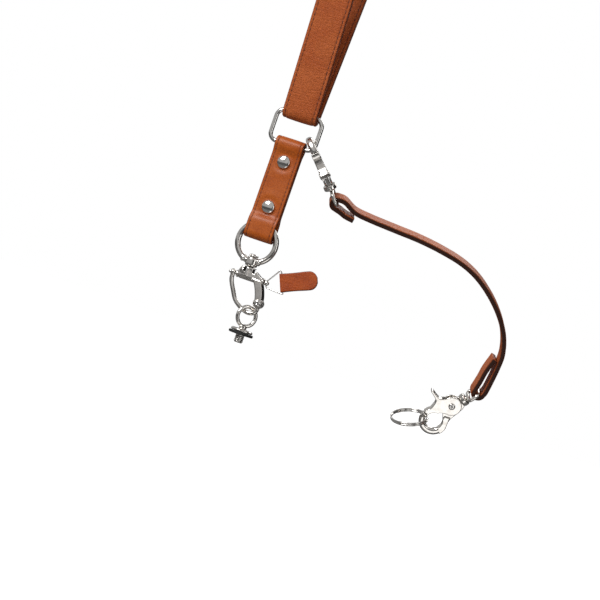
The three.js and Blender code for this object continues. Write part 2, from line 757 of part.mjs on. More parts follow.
// Assembles a snap: the hook side turns on its collar, while the eye stays with the strap.
function makeSnap(prefix, turn) {
  const hookSide = new THREE.Group();
  hookSide.rotation.z = degrees(turn);
  const grip = tongueThickness + 2 * gap + 2 * leverCheek;
  const rivet = makeRivet(rivetDiameter, rivetHeadDiameter, rivetHeadHeight, grip);
  const lever = makeLever().translate(-rivetSide, 0, -rivetHeight);
  const pivot = [rivetSide, 0, rivetHeight];
  hookSide.add(
    piece(`${prefix}_hook`, makeHook(), chrome),
    piece(`${prefix}_lever`, lever, chrome, pivot),
    piece(`${prefix}_rivet`, rivet, chrome, pivot),
  );
  const snap = new THREE.Group();
  snap.add(hookSide, piece(`${prefix}_eye`, makeSnapEye(), chrome));
  return snap;
}

// Split ring: two turns of wire, seen as a coil about Y, with its cut ends on the far side.
const splitRadius = (splitOuterDiameter - splitWire) / 2;

class Coil extends THREE.Curve {
  getPoint(share, target = new THREE.Vector3()) {
    const angle = share * 4 * Math.PI;
    const pitch = splitWire + splitTurnGap;
    const level = (share - 0.5) * 2 * pitch;
    return target.set(splitRadius * Math.cos(angle), level, splitRadius * Math.sin(angle));
  }
}

// Tether: one strap whose two ends are folded round the bars of the snaps and lapped back.
const barFoldRadius = snapEyeWire / 2 + foldGap + tetherThickness / 2;
const hookSeat = hookInnerRadius - ringWire / 2 - gap - hookSlack;
const direction = (lean) => new THREE.Vector2(Math.sin(degrees(lean)), Math.cos(degrees(lean)));
const upperAxis = direction(upperSnapLean);
const lowerAxis = direction(lowerSnapLean);
const upperHole = upperAxis.clone().multiplyScalar(hookSeat);
const upperBar = upperHole.clone().addScaledVector(upperAxis, strapBarZ);
const lowerBarPoint = new THREE.Vector2(lowerBar.x, lowerBar.z);
const lowerHole = lowerBarPoint.clone().addScaledVector(lowerAxis, -strapBarZ);

// One end of the tether, listed from its loose tail to the strap: the tail, then the fold.
// The strap leaves on the given side of the line from the bar towards the first route point.
function foldedEnd(bar, towards, side, tailLength) {
  const lead = new THREE.Vector2().subVectors(towards, bar).normalize();
  const across = new THREE.Vector2(-lead.y, lead.x).multiplyScalar(side);
  const heading = THREE.MathUtils.radToDeg(lead.angle());
  const at = (distance, away) =>
    bar.clone().addScaledVector(lead, distance).addScaledVector(across, -away);
  const tailEnd = tetherThickness + gap + tailSpread;
  const tail = new THREE.SplineCurve([
    at(tailLength, tailEnd),
    at(tailLength * 0.6, tailEnd - 0.2),
    at(tailLength * 0.3, barFoldRadius + 0.7),
    at(0, barFoldRadius),
  ]);
  const fold = arc(bar.x, bar.y, barFoldRadius, heading - side * 90, heading - side * 270, 9, side);
  return { tail: along(tail, 6).slice(0, -1), fold, leg: at(barFoldRadius * 1.4, -barFoldRadius) };
}

const backwards = (samples) =>
  samples.toReversed().map(({ point, normal }) => ({ point, normal: normal.clone().negate() }));

function makeTether() {
  const route = tetherRoute.map(({ x, z }) => new THREE.Vector2(x, z));
  const first = foldedEnd(upperBar, route[0], 1, upperTail);
  const last = foldedEnd(lowerBarPoint, route.at(-1), -1, lowerTail);
  const middle = [first.fold.at(-1).point, first.leg, ...route, last.leg, last.fold.at(-1).point];
  const main = along(new THREE.SplineCurve(middle), Math.round(1.7 * middle.length)).slice(1, -1);
  const samples = [
    ...first.tail,
    ...first.fold,
    ...main,
    ...backwards(last.fold),
    ...backwards(last.tail),
  ];
  return plate(strapShape(samples, tetherThickness), tetherWidth);
}

function makeTetherAssembly() {
  const upper = makeSnap("upper_snap", upperSnapTurn);
  upper.position.set(upperHole.x, 0, upperHole.y);
  upper.rotation.y = degrees(upperSnapLean);
  const lower = makeSnap("lower_snap", 0);
  lower.position.set(lowerHole.x, 0, lowerHole.y);
  lower.rotation.y = degrees(lowerSnapLean);
  const coil = wireAlong(new Coil(), splitWire, 44, 8).rotateX(Math.PI / 2);
  const ring = piece("split_ring", coil, chrome);
  const seat = hookInnerRadius - splitWire / 2 - gap - 0.6;
  const [seatX, seatZ] = onCircle(holeCentre, seat, splitSeatAngle);
  const droop = degrees(180 + splitDroop) + degrees(lowerSnapLean);
  ring.position.set(seatX + splitRadius * Math.cos(droop), 0, seatZ + splitRadius * Math.sin(droop));
  ring.rotation.y = -droop;
  lower.add(ring);
  const corner = ringCornerRadius;
  const cornerX = (ringInnerWidth + ringWire) / 2 - corner + corner * Math.cos(degrees(hookCornerAngle));
  const cornerZ = -(ringInnerHeight + ringWire) / 2 + corner + corner * Math.sin(degrees(hookCornerAngle));
  const tether = piece("tether", makeTether(), tanLeather);
  const assembly = group([cornerX, 0, ringZ + cornerZ], [upper, lower, tether]);
  assembly.rotation.set(degrees(tetherPitch), 0, degrees(tetherYaw), "ZYX");
  return assembly;
}

export default group([0, 0, 0], [
  makeNeckBand(),
  makeRectRing(),
  makeRingTab(),
  makeTabScrew("tab_screw_upper", upperScrewZ),
  makeTabScrew("tab_screw_lower", lowerScrewZ),
  makeBail(),
  makeShackle(),
  makeTetherAssembly(),
]);
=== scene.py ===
"""Leather camera neck strap: the finished look of each piece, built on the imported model.

Shapes are worked out in millimetres in the model's own frame: +Z is up, +X runs across the
neck band, and the origin is the top of the neck band's inner face. They are put in metres as
their last step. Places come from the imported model's boxes and joints.
"""

from __future__ import annotations

import json
import logging
import math
from dataclasses import dataclass, field
from enum import Enum
from typing import Iterable, Sequence

import bmesh
import bpy
from mathutils import Matrix, Vector


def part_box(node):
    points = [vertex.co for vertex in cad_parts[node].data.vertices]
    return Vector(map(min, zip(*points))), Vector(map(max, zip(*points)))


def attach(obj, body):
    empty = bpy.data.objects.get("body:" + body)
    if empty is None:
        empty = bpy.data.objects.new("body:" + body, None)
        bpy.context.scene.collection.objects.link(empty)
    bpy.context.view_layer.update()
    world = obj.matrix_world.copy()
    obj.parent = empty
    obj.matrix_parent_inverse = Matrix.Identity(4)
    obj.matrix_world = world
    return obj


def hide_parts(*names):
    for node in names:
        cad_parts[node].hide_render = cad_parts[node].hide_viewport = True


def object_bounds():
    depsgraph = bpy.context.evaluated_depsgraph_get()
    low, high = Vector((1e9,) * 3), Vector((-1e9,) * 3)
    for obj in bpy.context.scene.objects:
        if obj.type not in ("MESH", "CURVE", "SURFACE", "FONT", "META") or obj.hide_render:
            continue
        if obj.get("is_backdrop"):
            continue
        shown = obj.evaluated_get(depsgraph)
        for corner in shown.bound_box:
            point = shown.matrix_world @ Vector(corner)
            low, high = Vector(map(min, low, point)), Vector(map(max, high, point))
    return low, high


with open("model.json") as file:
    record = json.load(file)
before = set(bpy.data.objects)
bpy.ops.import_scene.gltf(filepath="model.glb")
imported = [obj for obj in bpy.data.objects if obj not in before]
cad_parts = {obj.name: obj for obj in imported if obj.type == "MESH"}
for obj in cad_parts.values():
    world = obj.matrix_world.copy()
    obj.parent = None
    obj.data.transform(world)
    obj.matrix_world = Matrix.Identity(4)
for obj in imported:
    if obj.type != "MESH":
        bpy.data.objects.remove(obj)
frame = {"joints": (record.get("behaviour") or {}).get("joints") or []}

LOG = logging.getLogger("strap")
METRE = 1000.0
UP = Vector((0.0, 0.0, 1.0))
ACROSS = Vector((1.0, 0.0, 0.0))
DEPTH = Vector((0.0, 1.0, 0.0))
Point = tuple[float, float]
Color = tuple[float, float, float]
Mesh = bmesh.types.BMesh
Material = bpy.types.Material
Socket = bpy.types.NodeSocket
Tree = bpy.types.NodeTree


class Body(Enum):
    """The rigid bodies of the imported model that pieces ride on."""

    STRAP = "strap"
    SHACKLE = "shackle"
    JAW = "jaw"
    PLUNGER = "plunger"
    UPPER_HOOK = "upper_hook"
    UPPER_LEVER = "upper_lever"
    LOWER_HOOK = "lower_hook"
    LOWER_LEVER = "lower_lever"


class Slot(Enum):
    """The record's material slots."""

    BAND = "band_leather"
    TAB = "tab_leather"
    TETHER = "tether_leather"
    PULL = "pull_leather"
    METAL = "polished_metal"
    RUBBER = "pad_rubber"


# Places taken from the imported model, in millimetres.
def node_box(node: str) -> tuple[Vector, Vector]:
    """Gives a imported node's lowest and highest corners.

    Args:
        node: The node's name.

    Returns:
        The two corners in millimetres.
    """
    low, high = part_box(node)
    return low * METRE, high * METRE


def node_middle(node: str) -> Vector:
    """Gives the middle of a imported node's box, in millimetres."""
    low, high = node_box(node)
    return (low + high) / 2


def joint_named(name: str) -> dict:
    """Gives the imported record's joint of that name."""
    return next(joint for joint in frame["joints"] if joint["name"] == name)


def joint_point(name: str) -> Vector:
    """Gives a point on a joint's axis, in millimetres."""
    return Vector(joint_named(name)["pos_m"]) * METRE


def joint_axis(name: str) -> Vector:
    """Gives a joint's axis as a unit vector."""
    return Vector(joint_named(name)["axis"]).normalized()


def frame_of(origin: Vector, x: Vector, y: Vector, z: Vector) -> Matrix:
    """Builds the placing matrix of a local frame.

    Args:
        origin: The frame's origin.
        x: The direction of its X axis.
        y: The direction of its Y axis.
        z: The direction of its Z axis.

    Returns:
        A 4x4 matrix that takes local points into the model's frame.
    """
    matrix = Matrix((x, y, z)).transposed().to_4x4()
    matrix.translation = origin
    return matrix


# Flat curves. Points are (x, z) pairs unless a function says otherwise.
def arc(centre: Point, radius: float, start: float, end: float, step: float = 4.0) -> list[Point]:
    """Samples a circular arc.

    Args:
        centre: The arc's centre.
        radius: Its radius.
        start: The first angle in degrees.
        end: The last angle in degrees.
        step: The largest angle between two samples.

    Returns:
        The points from start to end, both included.
    """
    count = max(1, math.ceil(abs(end - start) / step))
    angles = [math.radians(start + (end - start) * i / count) for i in range(count + 1)]
    return [(centre[0] + radius * math.cos(a), centre[1] + radius * math.sin(a)) for a in angles]


def on_circle(centre: Point, radius: float, angle: float) -> Point:
    """Gives the point of a circle at an angle in degrees."""
    return arc(centre, radius, angle, angle)[0]


def bezier(start: Point, control: Point, end: Point, count: int = 10) -> list[Point]:
    """Samples a quadratic curve between two points, both included."""
    points = []
    for i in range(count + 1):
        t = i / count
        weights = ((1 - t) ** 2, 2 * t * (1 - t), t * t)
        points.append(tuple(
            weights[0] * start[k] + weights[1] * control[k] + weights[2] * end[k] for k in (0, 1)
        ))
    return points


def rounded_box(width: float, height: float, radius: float, step: float = 9.0) -> list[Point]:
    """Gives a closed rectangle with round corners, counter-clockwise."""
    x, z = width / 2 - radius, height / 2 - radius
    turns = [(x, z, 0), (-x, z, 90), (-x, -z, 180), (x, -z, 270)]
    return [p for cx, cz, start in turns for p in arc((cx, cz), radius, start, start + 90, step)]


def smooth_through(points: Sequence[Vector], per_span: int = 12) -> list[Vector]:
    """Runs a Catmull-Rom curve through the points.

    Args:
        points: The points to pass through.
        per_span: The samples in each span.

    Returns:
        The samples, from the first point to the last.
    """
    padded = [points[0] * 2 - points[1], *points, points[-1] * 2 - points[-2]]
    samples = []
    for i in range(len(points) - 1):
        a, b, c, d = padded[i:i + 4]
        for k in range(per_span):
            t = k / per_span
            samples.append(0.5 * (
                2 * b + (c - a) * t + (2 * a - 5 * b + 4 * c - d) * t ** 2
                + (3 * b - a - 3 * c + d) * t ** 3
            ))
    return [*samples, points[-1].copy()]


def evenly(points: Sequence[Vector], spacing: float, closed: bool = False) -> list[Vector]:
    """Spaces points evenly along a polyline.

    Args:
        points: The polyline.
        spacing: The wanted distance between points, in millimetres.
        closed: Whether the last point joins the first again.

    Returns:
        The new points, without a doubled last one when closed.
    """
    line = [*points, points[0]] if closed else list(points)
    lengths = [0.0]
    for a, b in zip(line, line[1:]):
        lengths.append(lengths[-1] + (b - a).length)
    count = max(2, round(lengths[-1] / spacing))
    wanted = [lengths[-1] * i / count for i in range(count + (0 if closed else 1))]
    result, span = [], 0
    for distance in wanted:
        while span < len(line) - 2 and lengths[span + 1] < distance:
            span += 1
        gap = lengths[span + 1] - lengths[span]
        share = (distance - lengths[span]) / gap if gap > 1e-9 else 0.0
        result.append(line[span].lerp(line[span + 1], min(1.0, share)))
    return result


def in_plane(points: Iterable[Point], matrix: Matrix) -> list[Vector]:
    """Puts flat (x, z) points into the model through a local frame."""
    return [matrix @ Vector((x, 0.0, z)) for x, z in points]


# Sweeps: a section of (across, out, edge, groove) rows that follows a path.
@dataclass(frozen=True)
class SectionPoint:
    """One corner of a swept section.

    Attributes:
        across: Its place across the path, in millimetres.
        out: Its place along the path's normal, in millimetres.
        edge: 1 on the cut edge of a strap and 0 on its faces.
        groove: 1 in the channel that holds a row of stitches.
    """

    across: float
    out: float
    edge: float = 0.0
    groove: float = 0.0


def round_section(diameter: float, sides: int = 20) -> list[SectionPoint]:
    """Gives a round wire's section."""
    points = arc((0.0, 0.0), diameter / 2, 0, 360, 360 / sides)[:-1]
    return [SectionPoint(x, z) for x, z in points]


def strap_section(
    width: float, thickness: float, corner: float, inset: float = 0.0, depth: float = 0.0,
    crown: float = 0.0,
) -> list[SectionPoint]:
    """Gives a leather strap's section, with a stitch channel near both edges of both faces.

    Args:
        width: The strap's width.
        thickness: Its thickness.
        corner: The radius of its four edges.
        inset: How far the stitch channel lies from the edge, or 0 for none.
        depth: How deep the channel is.
        crown: How far the face swells between the two channels.

    Returns:
        The closed section, counter-clockwise.
    """
    half, top = width / 2, thickness / 2
    inner = half - (inset or corner)
    xs = [half - corner * 1.6]
    if inset:
        xs += [inner + 0.75, inner + 0.35, inner, inner - 0.35, inner - 0.75, inner - 1.4]
    xs += [inner * share for share in (0.72, 0.5, 0.25, 0.0)]
    xs += [-x for x in reversed(xs[:-1])]
    turn = arc((half - corner, top - corner), corner, 0, 90, 22.5)
    face = [(x, z, (x - half + corner) / corner, 0.0) for x, z in turn]
    for x in xs:
        groove = max(0.0, 1.0 - abs(inner - abs(x)) / 0.5) if inset else 0.0
        swell = crown * max(0.0, 1 - (x / inner) ** 2) ** 0.5
        face.append((x, top + swell - depth * groove, 0.0, groove))
    face += [(-x, z, edge, groove) for x, z, edge, groove in reversed(face[:len(turn)])]
    upper = [SectionPoint(*row) for row in face]
    return upper + [SectionPoint(-p.across, -p.out, p.edge, p.groove) for p in upper]


def tangents(points: Sequence[Vector], closed: bool) -> list[Vector]:
    """Gives the unit direction of a path at each of its points."""
    count = len(points)
    result = []
    for i in range(count):
        after = points[(i + 1) % count] if closed or i + 1 < count else points[i]
        before = points[i - 1] if closed or i else points[i]
        result.append((after - before).normalized())
    return result


def stations(points: Sequence[Vector], width_axis: Vector, closed: bool) -> list[Matrix]:
    """Builds a local frame at each point of a path.

    Args:
        points: The path.
        width_axis: The direction that the section's across axis keeps to.
        closed: Whether the path is closed.

    Returns:
        One matrix a point: X across, Y along the normal, Z along the path.
    """
    result = []
    for point, tangent in zip(points, tangents(points, closed)):
        across = (width_axis - tangent * width_axis.dot(tangent)).normalized()
        result.append(frame_of(point, across, tangent.cross(across), tangent))
    return result


def sweep(
    path: Sequence[Vector],
    width_axis: Vector,
    section: Sequence[SectionPoint],
    closed: bool = False,
    scale: Sequence[tuple[float, float]] | None = None,
) -> Mesh:
    """Carries a section along a path, by extruding its outline from station to station.

    Args:
        path: The path's points in millimetres.
        width_axis: The direction that the section's across axis keeps to.
        section: The section's corners.
        closed: Whether the path and the solid close on themselves.
        scale: The section's size across and out at each point, or None for 1.

    Returns:
        A new bmesh with "edge" and "groove" values on its vertices.
    """
    mesh = bmesh.new()
    layer = {label: mesh.verts.layers.float.new(label) for label in ("edge", "groove")}
    places = stations(path, width_axis, closed)
    if scale:
        places = [m @ Matrix.Diagonal((sx, sy, 1.0, 1.0)) for m, (sx, sy) in zip(places, scale)]
    ring = [mesh.verts.new(places[0] @ Vector((p.across, p.out, 0.0))) for p in section]
    for vertex, corner in zip(ring, section):
        vertex[layer["edge"]] = corner.edge
        vertex[layer["groove"]] = corner.groove
    edges = [mesh.edges.new((a, b)) for a, b in zip(ring, [*ring[1:], ring[0]])]
    first = list(edges)
    for i in range(1, len(places)):
        grown = bmesh.ops.extrude_edge_only(mesh, edges=edges)["geom"]
        moved = [item for item in grown if isinstance(item, bmesh.types.BMVert)]
        edges = [item for item in grown if isinstance(item, bmesh.types.BMEdge)]
        bmesh.ops.transform(mesh, matrix=places[i] @ places[i - 1].inverted(), verts=moved)
        edges = [e for e in edges if e.verts[0] in moved and e.verts[1] in moved]
    if closed:
        bmesh.ops.bridge_loops(mesh, edges=first + edges)
    else:
        bmesh.ops.contextual_create(mesh, geom=first)
        bmesh.ops.contextual_create(mesh, geom=edges)
    bmesh.ops.recalc_face_normals(mesh, faces=mesh.faces)
    return mesh


# Turned, flat and cast solids.
def turned(rows: Sequence[Point], matrix: Matrix, steps: int = 40) -> Mesh:
    """Spins a profile of (radius, height) rows round the local Z axis.

    Args:
        rows: The profile, from axis to axis or closed on itself.
        matrix: The local frame.
        steps: The number of steps in the turn.

    Returns:
        A new closed bmesh.
    """
    mesh = bmesh.new()
    line = [mesh.verts.new((radius, 0.0, height)) for radius, height in rows]
    edges = [mesh.edges.new(pair) for pair in zip(line, line[1:])]
    bmesh.ops.spin(
        mesh, geom=line + edges, cent=(0, 0, 0), axis=(0, 0, 1), dvec=(0, 0, 0),
        angle=2 * math.pi, steps=steps, use_merge=True, use_duplicate=False,
    )
    bmesh.ops.remove_doubles(mesh, verts=mesh.verts, dist=1e-4)
    bmesh.ops.recalc_face_normals(mesh, faces=mesh.faces)
    bmesh.ops.transform(mesh, matrix=matrix, verts=mesh.verts)
    return mesh


def rod(
    diameter: float, start: float, end: float, matrix: Matrix, sides: int = 40
) -> Mesh:
    """Makes a round bar along the local Z axis."""
    radius = diameter / 2
    return turned([(0, start), (radius, start), (radius, end), (0, end)], matrix, sides)


def box(width: float, depth: float, height: float, centre: Vector) -> Mesh:
    """Makes a block round a centre, square to the model's axes."""
    mesh = bmesh.new()
    size = Matrix.Diagonal((width, depth, height, 1.0))
    bmesh.ops.create_cube(mesh, size=1.0, matrix=Matrix.Translation(centre) @ size)
    return mesh


def ball(centre: Vector, radii: Vector) -> Mesh:
    """Makes an ellipsoid square to the axes."""
    mesh = bmesh.new()
    place = Matrix.Translation(centre) @ Matrix.Diagonal((*radii, 1.0))
    bmesh.ops.create_uvsphere(mesh, u_segments=32, v_segments=20, radius=1.0, matrix=place)
    return mesh


def plate(
    outline: Sequence[Point],
    thickness: float,
    matrix: Matrix,
    bevel: float = 0.0,
    segments: int = 3,
) -> Mesh:
    """Extrudes a flat (x, z) outline along the local Y axis, and rounds its rims.

    Args:
        outline: The closed outline.
        thickness: The plate's thickness, half of it on each side of Y = 0.
        matrix: The local frame.
        bevel: The radius of its rims.
        segments: The steps of that radius.

    Returns:
        A new closed bmesh.
    """
    points = [p for p, q in zip(outline, [outline[-1], *outline[:-1]]) if math.dist(p, q) > 1e-3]
    mesh = bmesh.new()
    face = mesh.faces.new([mesh.verts.new((x, -thickness / 2, z)) for x, z in points])
    grown = bmesh.ops.extrude_face_region(mesh, geom=[face])["geom"]
    moved = [item for item in grown if isinstance(item, bmesh.types.BMVert)]
    bmesh.ops.translate(mesh, vec=(0, thickness, 0), verts=moved)
    bmesh.ops.recalc_face_normals(mesh, faces=mesh.faces)
    if bevel:
        rims = [e for e in mesh.edges if abs(e.verts[0].co.y - e.verts[1].co.y) < 1e-6]
        bmesh.ops.bevel(
            mesh, geom=rims, offset=bevel, segments=segments, affect="EDGES", profile=0.5,
            material=-1, clamp_overlap=True,
        )
    bmesh.ops.transform(mesh, matrix=matrix, verts=mesh.verts)
    return mesh


def loose_object(name: str, mesh: Mesh) -> bpy.types.Object:
    """Turns a bmesh into an object that is linked to the scene."""
    data = bpy.data.meshes.new(name)
    mesh.to_mesh(data)
    mesh.free()
    made = bpy.data.objects.new(name, data)
    bpy.context.scene.collection.objects.link(made)
    return made


def applied(made: bpy.types.Object) -> bpy.types.Mesh:
    """Gives a copy of an object's mesh with its modifiers worked out."""
    bpy.context.view_layer.update()
    graph = bpy.context.evaluated_depsgraph_get()
    return bpy.data.meshes.new_from_object(made.evaluated_get(graph))


def removed(made: bpy.types.Object) -> None:
    """Deletes a helper object and its mesh."""
    data = made.data
    bpy.data.objects.remove(made)
    bpy.data.meshes.remove(data)


def moved_by(mesh: Mesh, matrix: Matrix) -> Mesh:
    """Moves a whole bmesh by a matrix, and gives it back."""
    bmesh.ops.transform(mesh, matrix=matrix, verts=mesh.verts)
    return mesh


def less(solid: Mesh, cutters: Sequence[Mesh]) -> Mesh:
    """Cuts solids out of a solid.

    Args:
        solid: The solid to cut, which is used up.
        cutters: The solids to take away, which are kept.

    Returns:
        A new bmesh.
    """
    body = loose_object("cut_body", solid)
    tools = []
    for cutter in cutters:
        tool = loose_object("cut_tool", cutter.copy())
        cut = body.modifiers.new("cut", "BOOLEAN")
        cut.operation = "DIFFERENCE"
        cut.solver = "EXACT"
        cut.object = tool
        tools.append(tool)
    data = applied(body)
    result = bmesh.new()
    result.from_mesh(data)
    bpy.data.meshes.remove(data)
    for helper in (body, *tools):
        removed(helper)
    return result


def joined(parts: Sequence[Mesh]) -> Mesh:
    """Puts several bmeshes into one, and frees them."""
    whole = bmesh.new()
    for part in parts:
        data = bpy.data.meshes.new("part")
        part.to_mesh(data)
        part.free()
        whole.from_mesh(data)
        bpy.data.meshes.remove(data)
    return whole


def cast(
    parts: Sequence[Mesh],
    cutters: Sequence[Mesh] = (),
    voxel: float = 0.2,
    rounds: int = 6,
) -> Mesh:
    """Fuses solids into one casting with soft inner corners and slightly rounded edges.

    Args:
        parts: The overlapping solids.
        cutters: The solids to take away from each of them.
        voxel: The grain of the fused mesh, in millimetres.
        rounds: How often its surface is smoothed.

    Returns:
        A new closed bmesh.
    """
    whole = joined([less(part, cutters) if cutters else part for part in parts])
    for cutter in cutters:
        cutter.free()
    body = loose_object("cast_body", whole)
    fuse = body.modifiers.new("fuse", "REMESH")
    fuse.mode = "VOXEL"
    fuse.voxel_size = voxel * 1.0
    soften = body.modifiers.new("soften", "SMOOTH")
    soften.factor = 0.5
    soften.iterations = rounds
    data = applied(body)
    removed(body)
    result = bmesh.new()
    result.from_mesh(data)
    bpy.data.meshes.remove(data)
    return result


def finished(
    name: str,
    mesh: Mesh,
    material: Material,
    body: Body,
    replaces: Sequence[str] = (),
) -> bpy.types.Object:
    """Turns a bmesh in millimetres into a finished piece in metres.

    Args:
        name: The piece's name.
        mesh: Its shape, which is used up.
        material: Its finish.
        body: The rigid body it rides on.
        replaces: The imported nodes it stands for.

    Returns:
        The new object.
    """
    bmesh.ops.scale(mesh, vec=(1 / METRE,) * 3, verts=mesh.verts)
    for face in mesh.faces:
        face.smooth = True
    made = loose_object(name, mesh)
    made.data.materials.append(material)
    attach(made, body.value)
    if replaces:
        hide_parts(*replaces)
    LOG.info("%s: %d faces", name, len(made.data.polygons))
    return made


def stitches(
    rows: Iterable[tuple[Vector, Vector, Vector]], length: float, thickness: float, sink: float
) -> Mesh:
    """Makes rows of stitches, each one a small bead of thread that dips at its ends.

    Args:
        rows: The place, direction and outward normal of each stitch.
        length: A stitch's length.
        thickness: The thread's thickness.
        sink: How far the thread's middle lies below the surface.

    Returns:
        A new bmesh.
    """
    bead = bmesh.new()
    bmesh.ops.create_uvsphere(bead, u_segments=6, v_segments=6, radius=1.0)
    bmesh.ops.scale(bead, vec=(thickness * 0.62, thickness / 2, length / 2), verts=bead.verts)
    data = bpy.data.meshes.new("bead")
    bead.to_mesh(data)
    bead.free()
    whole = bmesh.new()
    for place, tangent, normal in rows:
        seat = frame_of(place - normal * sink, normal.cross(tangent), normal, tangent)
        data.transform(seat)
        whole.from_mesh(data)
        data.transform(seat.inverted())
    bpy.data.meshes.remove(data)
    return whole


# Shader nodes.
class Nodes:
    """A small hand for building shader node trees."""

    def __init__(self, tree: Tree) -> None:
        """Starts on an empty tree."""
        self.tree = tree
        tree.nodes.clear()

    def add(self, kind: str, **settings: object) -> bpy.types.Node:
        """Adds a node.

        Args:
            kind: The node's type name, where ShaderNode in front may be left out.
            **settings: The node's properties.

        Returns:
            The new node.
        """
        node = self.tree.nodes.new(kind if kind.startswith("NodeGroup") else f"ShaderNode{kind}")
        for name, value in settings.items():
            setattr(node, name, value)
        return node

    def link(self, source: Socket, target: Socket) -> None:
        """Joins an output to an input."""
        self.tree.links.new(source, target)

    def ramp(self, source: Socket, stops: Sequence[tuple[float, tuple]]) -> bpy.types.Node:
        """Adds a colour ramp with the given stops and feeds it."""
        node = self.add("ValToRGB")
        elements = node.color_ramp.elements
        while len(elements) < len(stops):
            elements.new(0.5)
        for element, (position, color) in zip(elements, stops):
            element.position = position
            element.color = (*color, 1.0)
        self.link(source, node.inputs["Fac"])
        return node

    def mix(
        self, factor: object, first: object, second: object, blend: str = "MIX"
    ) -> Socket:
        """Mixes two colours, each given as a socket or a value, and gives the result."""
        node = self.add("Mix", data_type="RGBA", blend_type=blend)
        sockets = (node.inputs[0], node.inputs[6], node.inputs[7])
        self.feed(sockets, (factor, first, second))
        return node.outputs[2]

    def math(self, operation: str, first: object, second: object = 0.0) -> Socket:
        """Adds a math node on sockets or numbers, and gives its result."""
        node = self.add("Math", operation=operation)
        self.feed(node.inputs, (first, second))
        return node.outputs[0]

    def feed(self, sockets: Iterable[Socket], values: Iterable[object]) -> None:
        """Links or sets each input, after whether its value is an output or a plain value."""
        for socket, value in zip(sockets, values):
            if isinstance(value, Socket):
                self.link(value, socket)
            else:
                socket.default_value = value


def rgba(color: Color) -> tuple[float, float, float, float]:
    """Adds full opacity to a colour."""
    return (*color, 1.0)


def new_group(
    name: str, inputs: dict[str, float], outputs: dict[str, str]
) -> tuple[Tree, Nodes]:
    """Starts a shader node group.

    Args:
        name: The group's name.
        inputs: Each number input and its default.
        outputs: Each output and its socket type.

    Returns:
        The group and a hand on its nodes.
    """
    group = bpy.data.node_groups.new(name, "ShaderNodeTree")
    for label, value in inputs.items():
        socket = group.interface.new_socket(label, in_out="INPUT", socket_type="NodeSocketFloat")
        socket.default_value = value
    for label, kind in outputs.items():
        group.interface.new_socket(label, in_out="OUTPUT", socket_type=kind)
    return group, Nodes(group)


class Effects:
    """The shader effects that several finishes share, each built once."""

    def __init__(self) -> None:
        """Builds the groups."""
        self.grain = self._grain()
        self.polish = self._polish()

    def _grain(self) -> Tree:
        """Builds leather grain: pebbles, cross creases, and slow tone drift."""
        group, nodes = new_group(
            "leather_grain", {"Pebble": 1.0, "Crease": 0.5},
            {"Height": "NodeSocketFloat", "Tone": "NodeSocketFloat", "Pore": "NodeSocketFloat"},
        )
        source = nodes.add("NodeGroupInput")
        place = nodes.add("TexCoord").outputs["Object"]
        pebble = nodes.add("TexVoronoi", feature="SMOOTH_F1")
        pebble.inputs["Scale"].default_value = 1500.0
        pebble.inputs["Smoothness"].default_value = 0.6
        warp = nodes.add("TexNoise")
        warp.inputs["Scale"].default_value = 420.0
        warp.inputs["Detail"].default_value = 3.0
        bend = nodes.add("VectorMath", operation="MULTIPLY_ADD")
        nodes.link(place, warp.inputs["Vector"])
        nodes.link(warp.outputs["Color"], bend.inputs[0])
        bend.inputs[1].default_value = (0.0009, 0.0009, 0.0009)
        nodes.link(place, bend.inputs[2])
        nodes.link(bend.outputs[0], pebble.inputs["Vector"])
        stretch = nodes.add("Mapping")
        stretch.inputs["Scale"].default_value = (0.32, 0.5, 1.7)
        nodes.link(place, stretch.inputs["Vector"])
        crease = nodes.add("TexNoise")
        crease.inputs["Scale"].default_value = 700.0
        crease.inputs["Detail"].default_value = 5.0
        crease.inputs["Roughness"].default_value = 0.62
        nodes.link(stretch.outputs[0], crease.inputs["Vector"])
        drift = nodes.add("TexNoise")
        drift.inputs["Scale"].default_value = 55.0
        drift.inputs["Detail"].default_value = 4.0
        nodes.link(place, drift.inputs["Vector"])
        high = nodes.math("MULTIPLY", pebble.outputs["Distance"], source.outputs["Pebble"])
        ridge = nodes.math("MULTIPLY", crease.outputs["Fac"], source.outputs["Crease"])
        target = nodes.add("NodeGroupOutput")
        nodes.link(nodes.math("ADD", high, ridge), target.inputs["Height"])
        nodes.link(drift.outputs["Fac"], target.inputs["Tone"])
        pore = nodes.math("MULTIPLY", pebble.outputs["Distance"], crease.outputs["Fac"])
        nodes.link(pore, target.inputs["Pore"])
        return group

    def _polish(self) -> Tree:
        """Builds polish marks: fine wipe scratches and cloudy smears."""
        group, nodes = new_group(
            "polish_marks", {"Scratch": 1.0},
            {"Rough": "NodeSocketFloat", "Height": "NodeSocketFloat", "Cloud": "NodeSocketFloat"},
        )
        source = nodes.add("NodeGroupInput")
        place = nodes.add("TexCoord").outputs["Object"]
        stretch = nodes.add("Mapping")
        stretch.inputs["Scale"].default_value = (1.0, 0.6, 6.0)
        stretch.inputs["Rotation"].default_value = (0.4, 0.9, 0.2)
        nodes.link(place, stretch.inputs["Vector"])
        scratch = nodes.add("TexNoise")
        scratch.inputs["Scale"].default_value = 900.0
        scratch.inputs["Detail"].default_value = 4.0
        nodes.link(stretch.outputs[0], scratch.inputs["Vector"])
        cloud = nodes.add("TexNoise")
        cloud.inputs["Scale"].default_value = 260.0
        cloud.inputs["Detail"].default_value = 2.0
        nodes.link(place, cloud.inputs["Vector"])
        target = nodes.add("NodeGroupOutput")
        fine = nodes.math("MULTIPLY", scratch.outputs["Fac"], source.outputs["Scratch"])
        rough = nodes.math("ADD", nodes.math("MULTIPLY", fine, 0.5), cloud.outputs["Fac"])
        nodes.link(rough, target.inputs["Rough"])
        nodes.link(fine, target.inputs["Height"])
        nodes.link(cloud.outputs["Fac"], target.inputs["Cloud"])
        return group


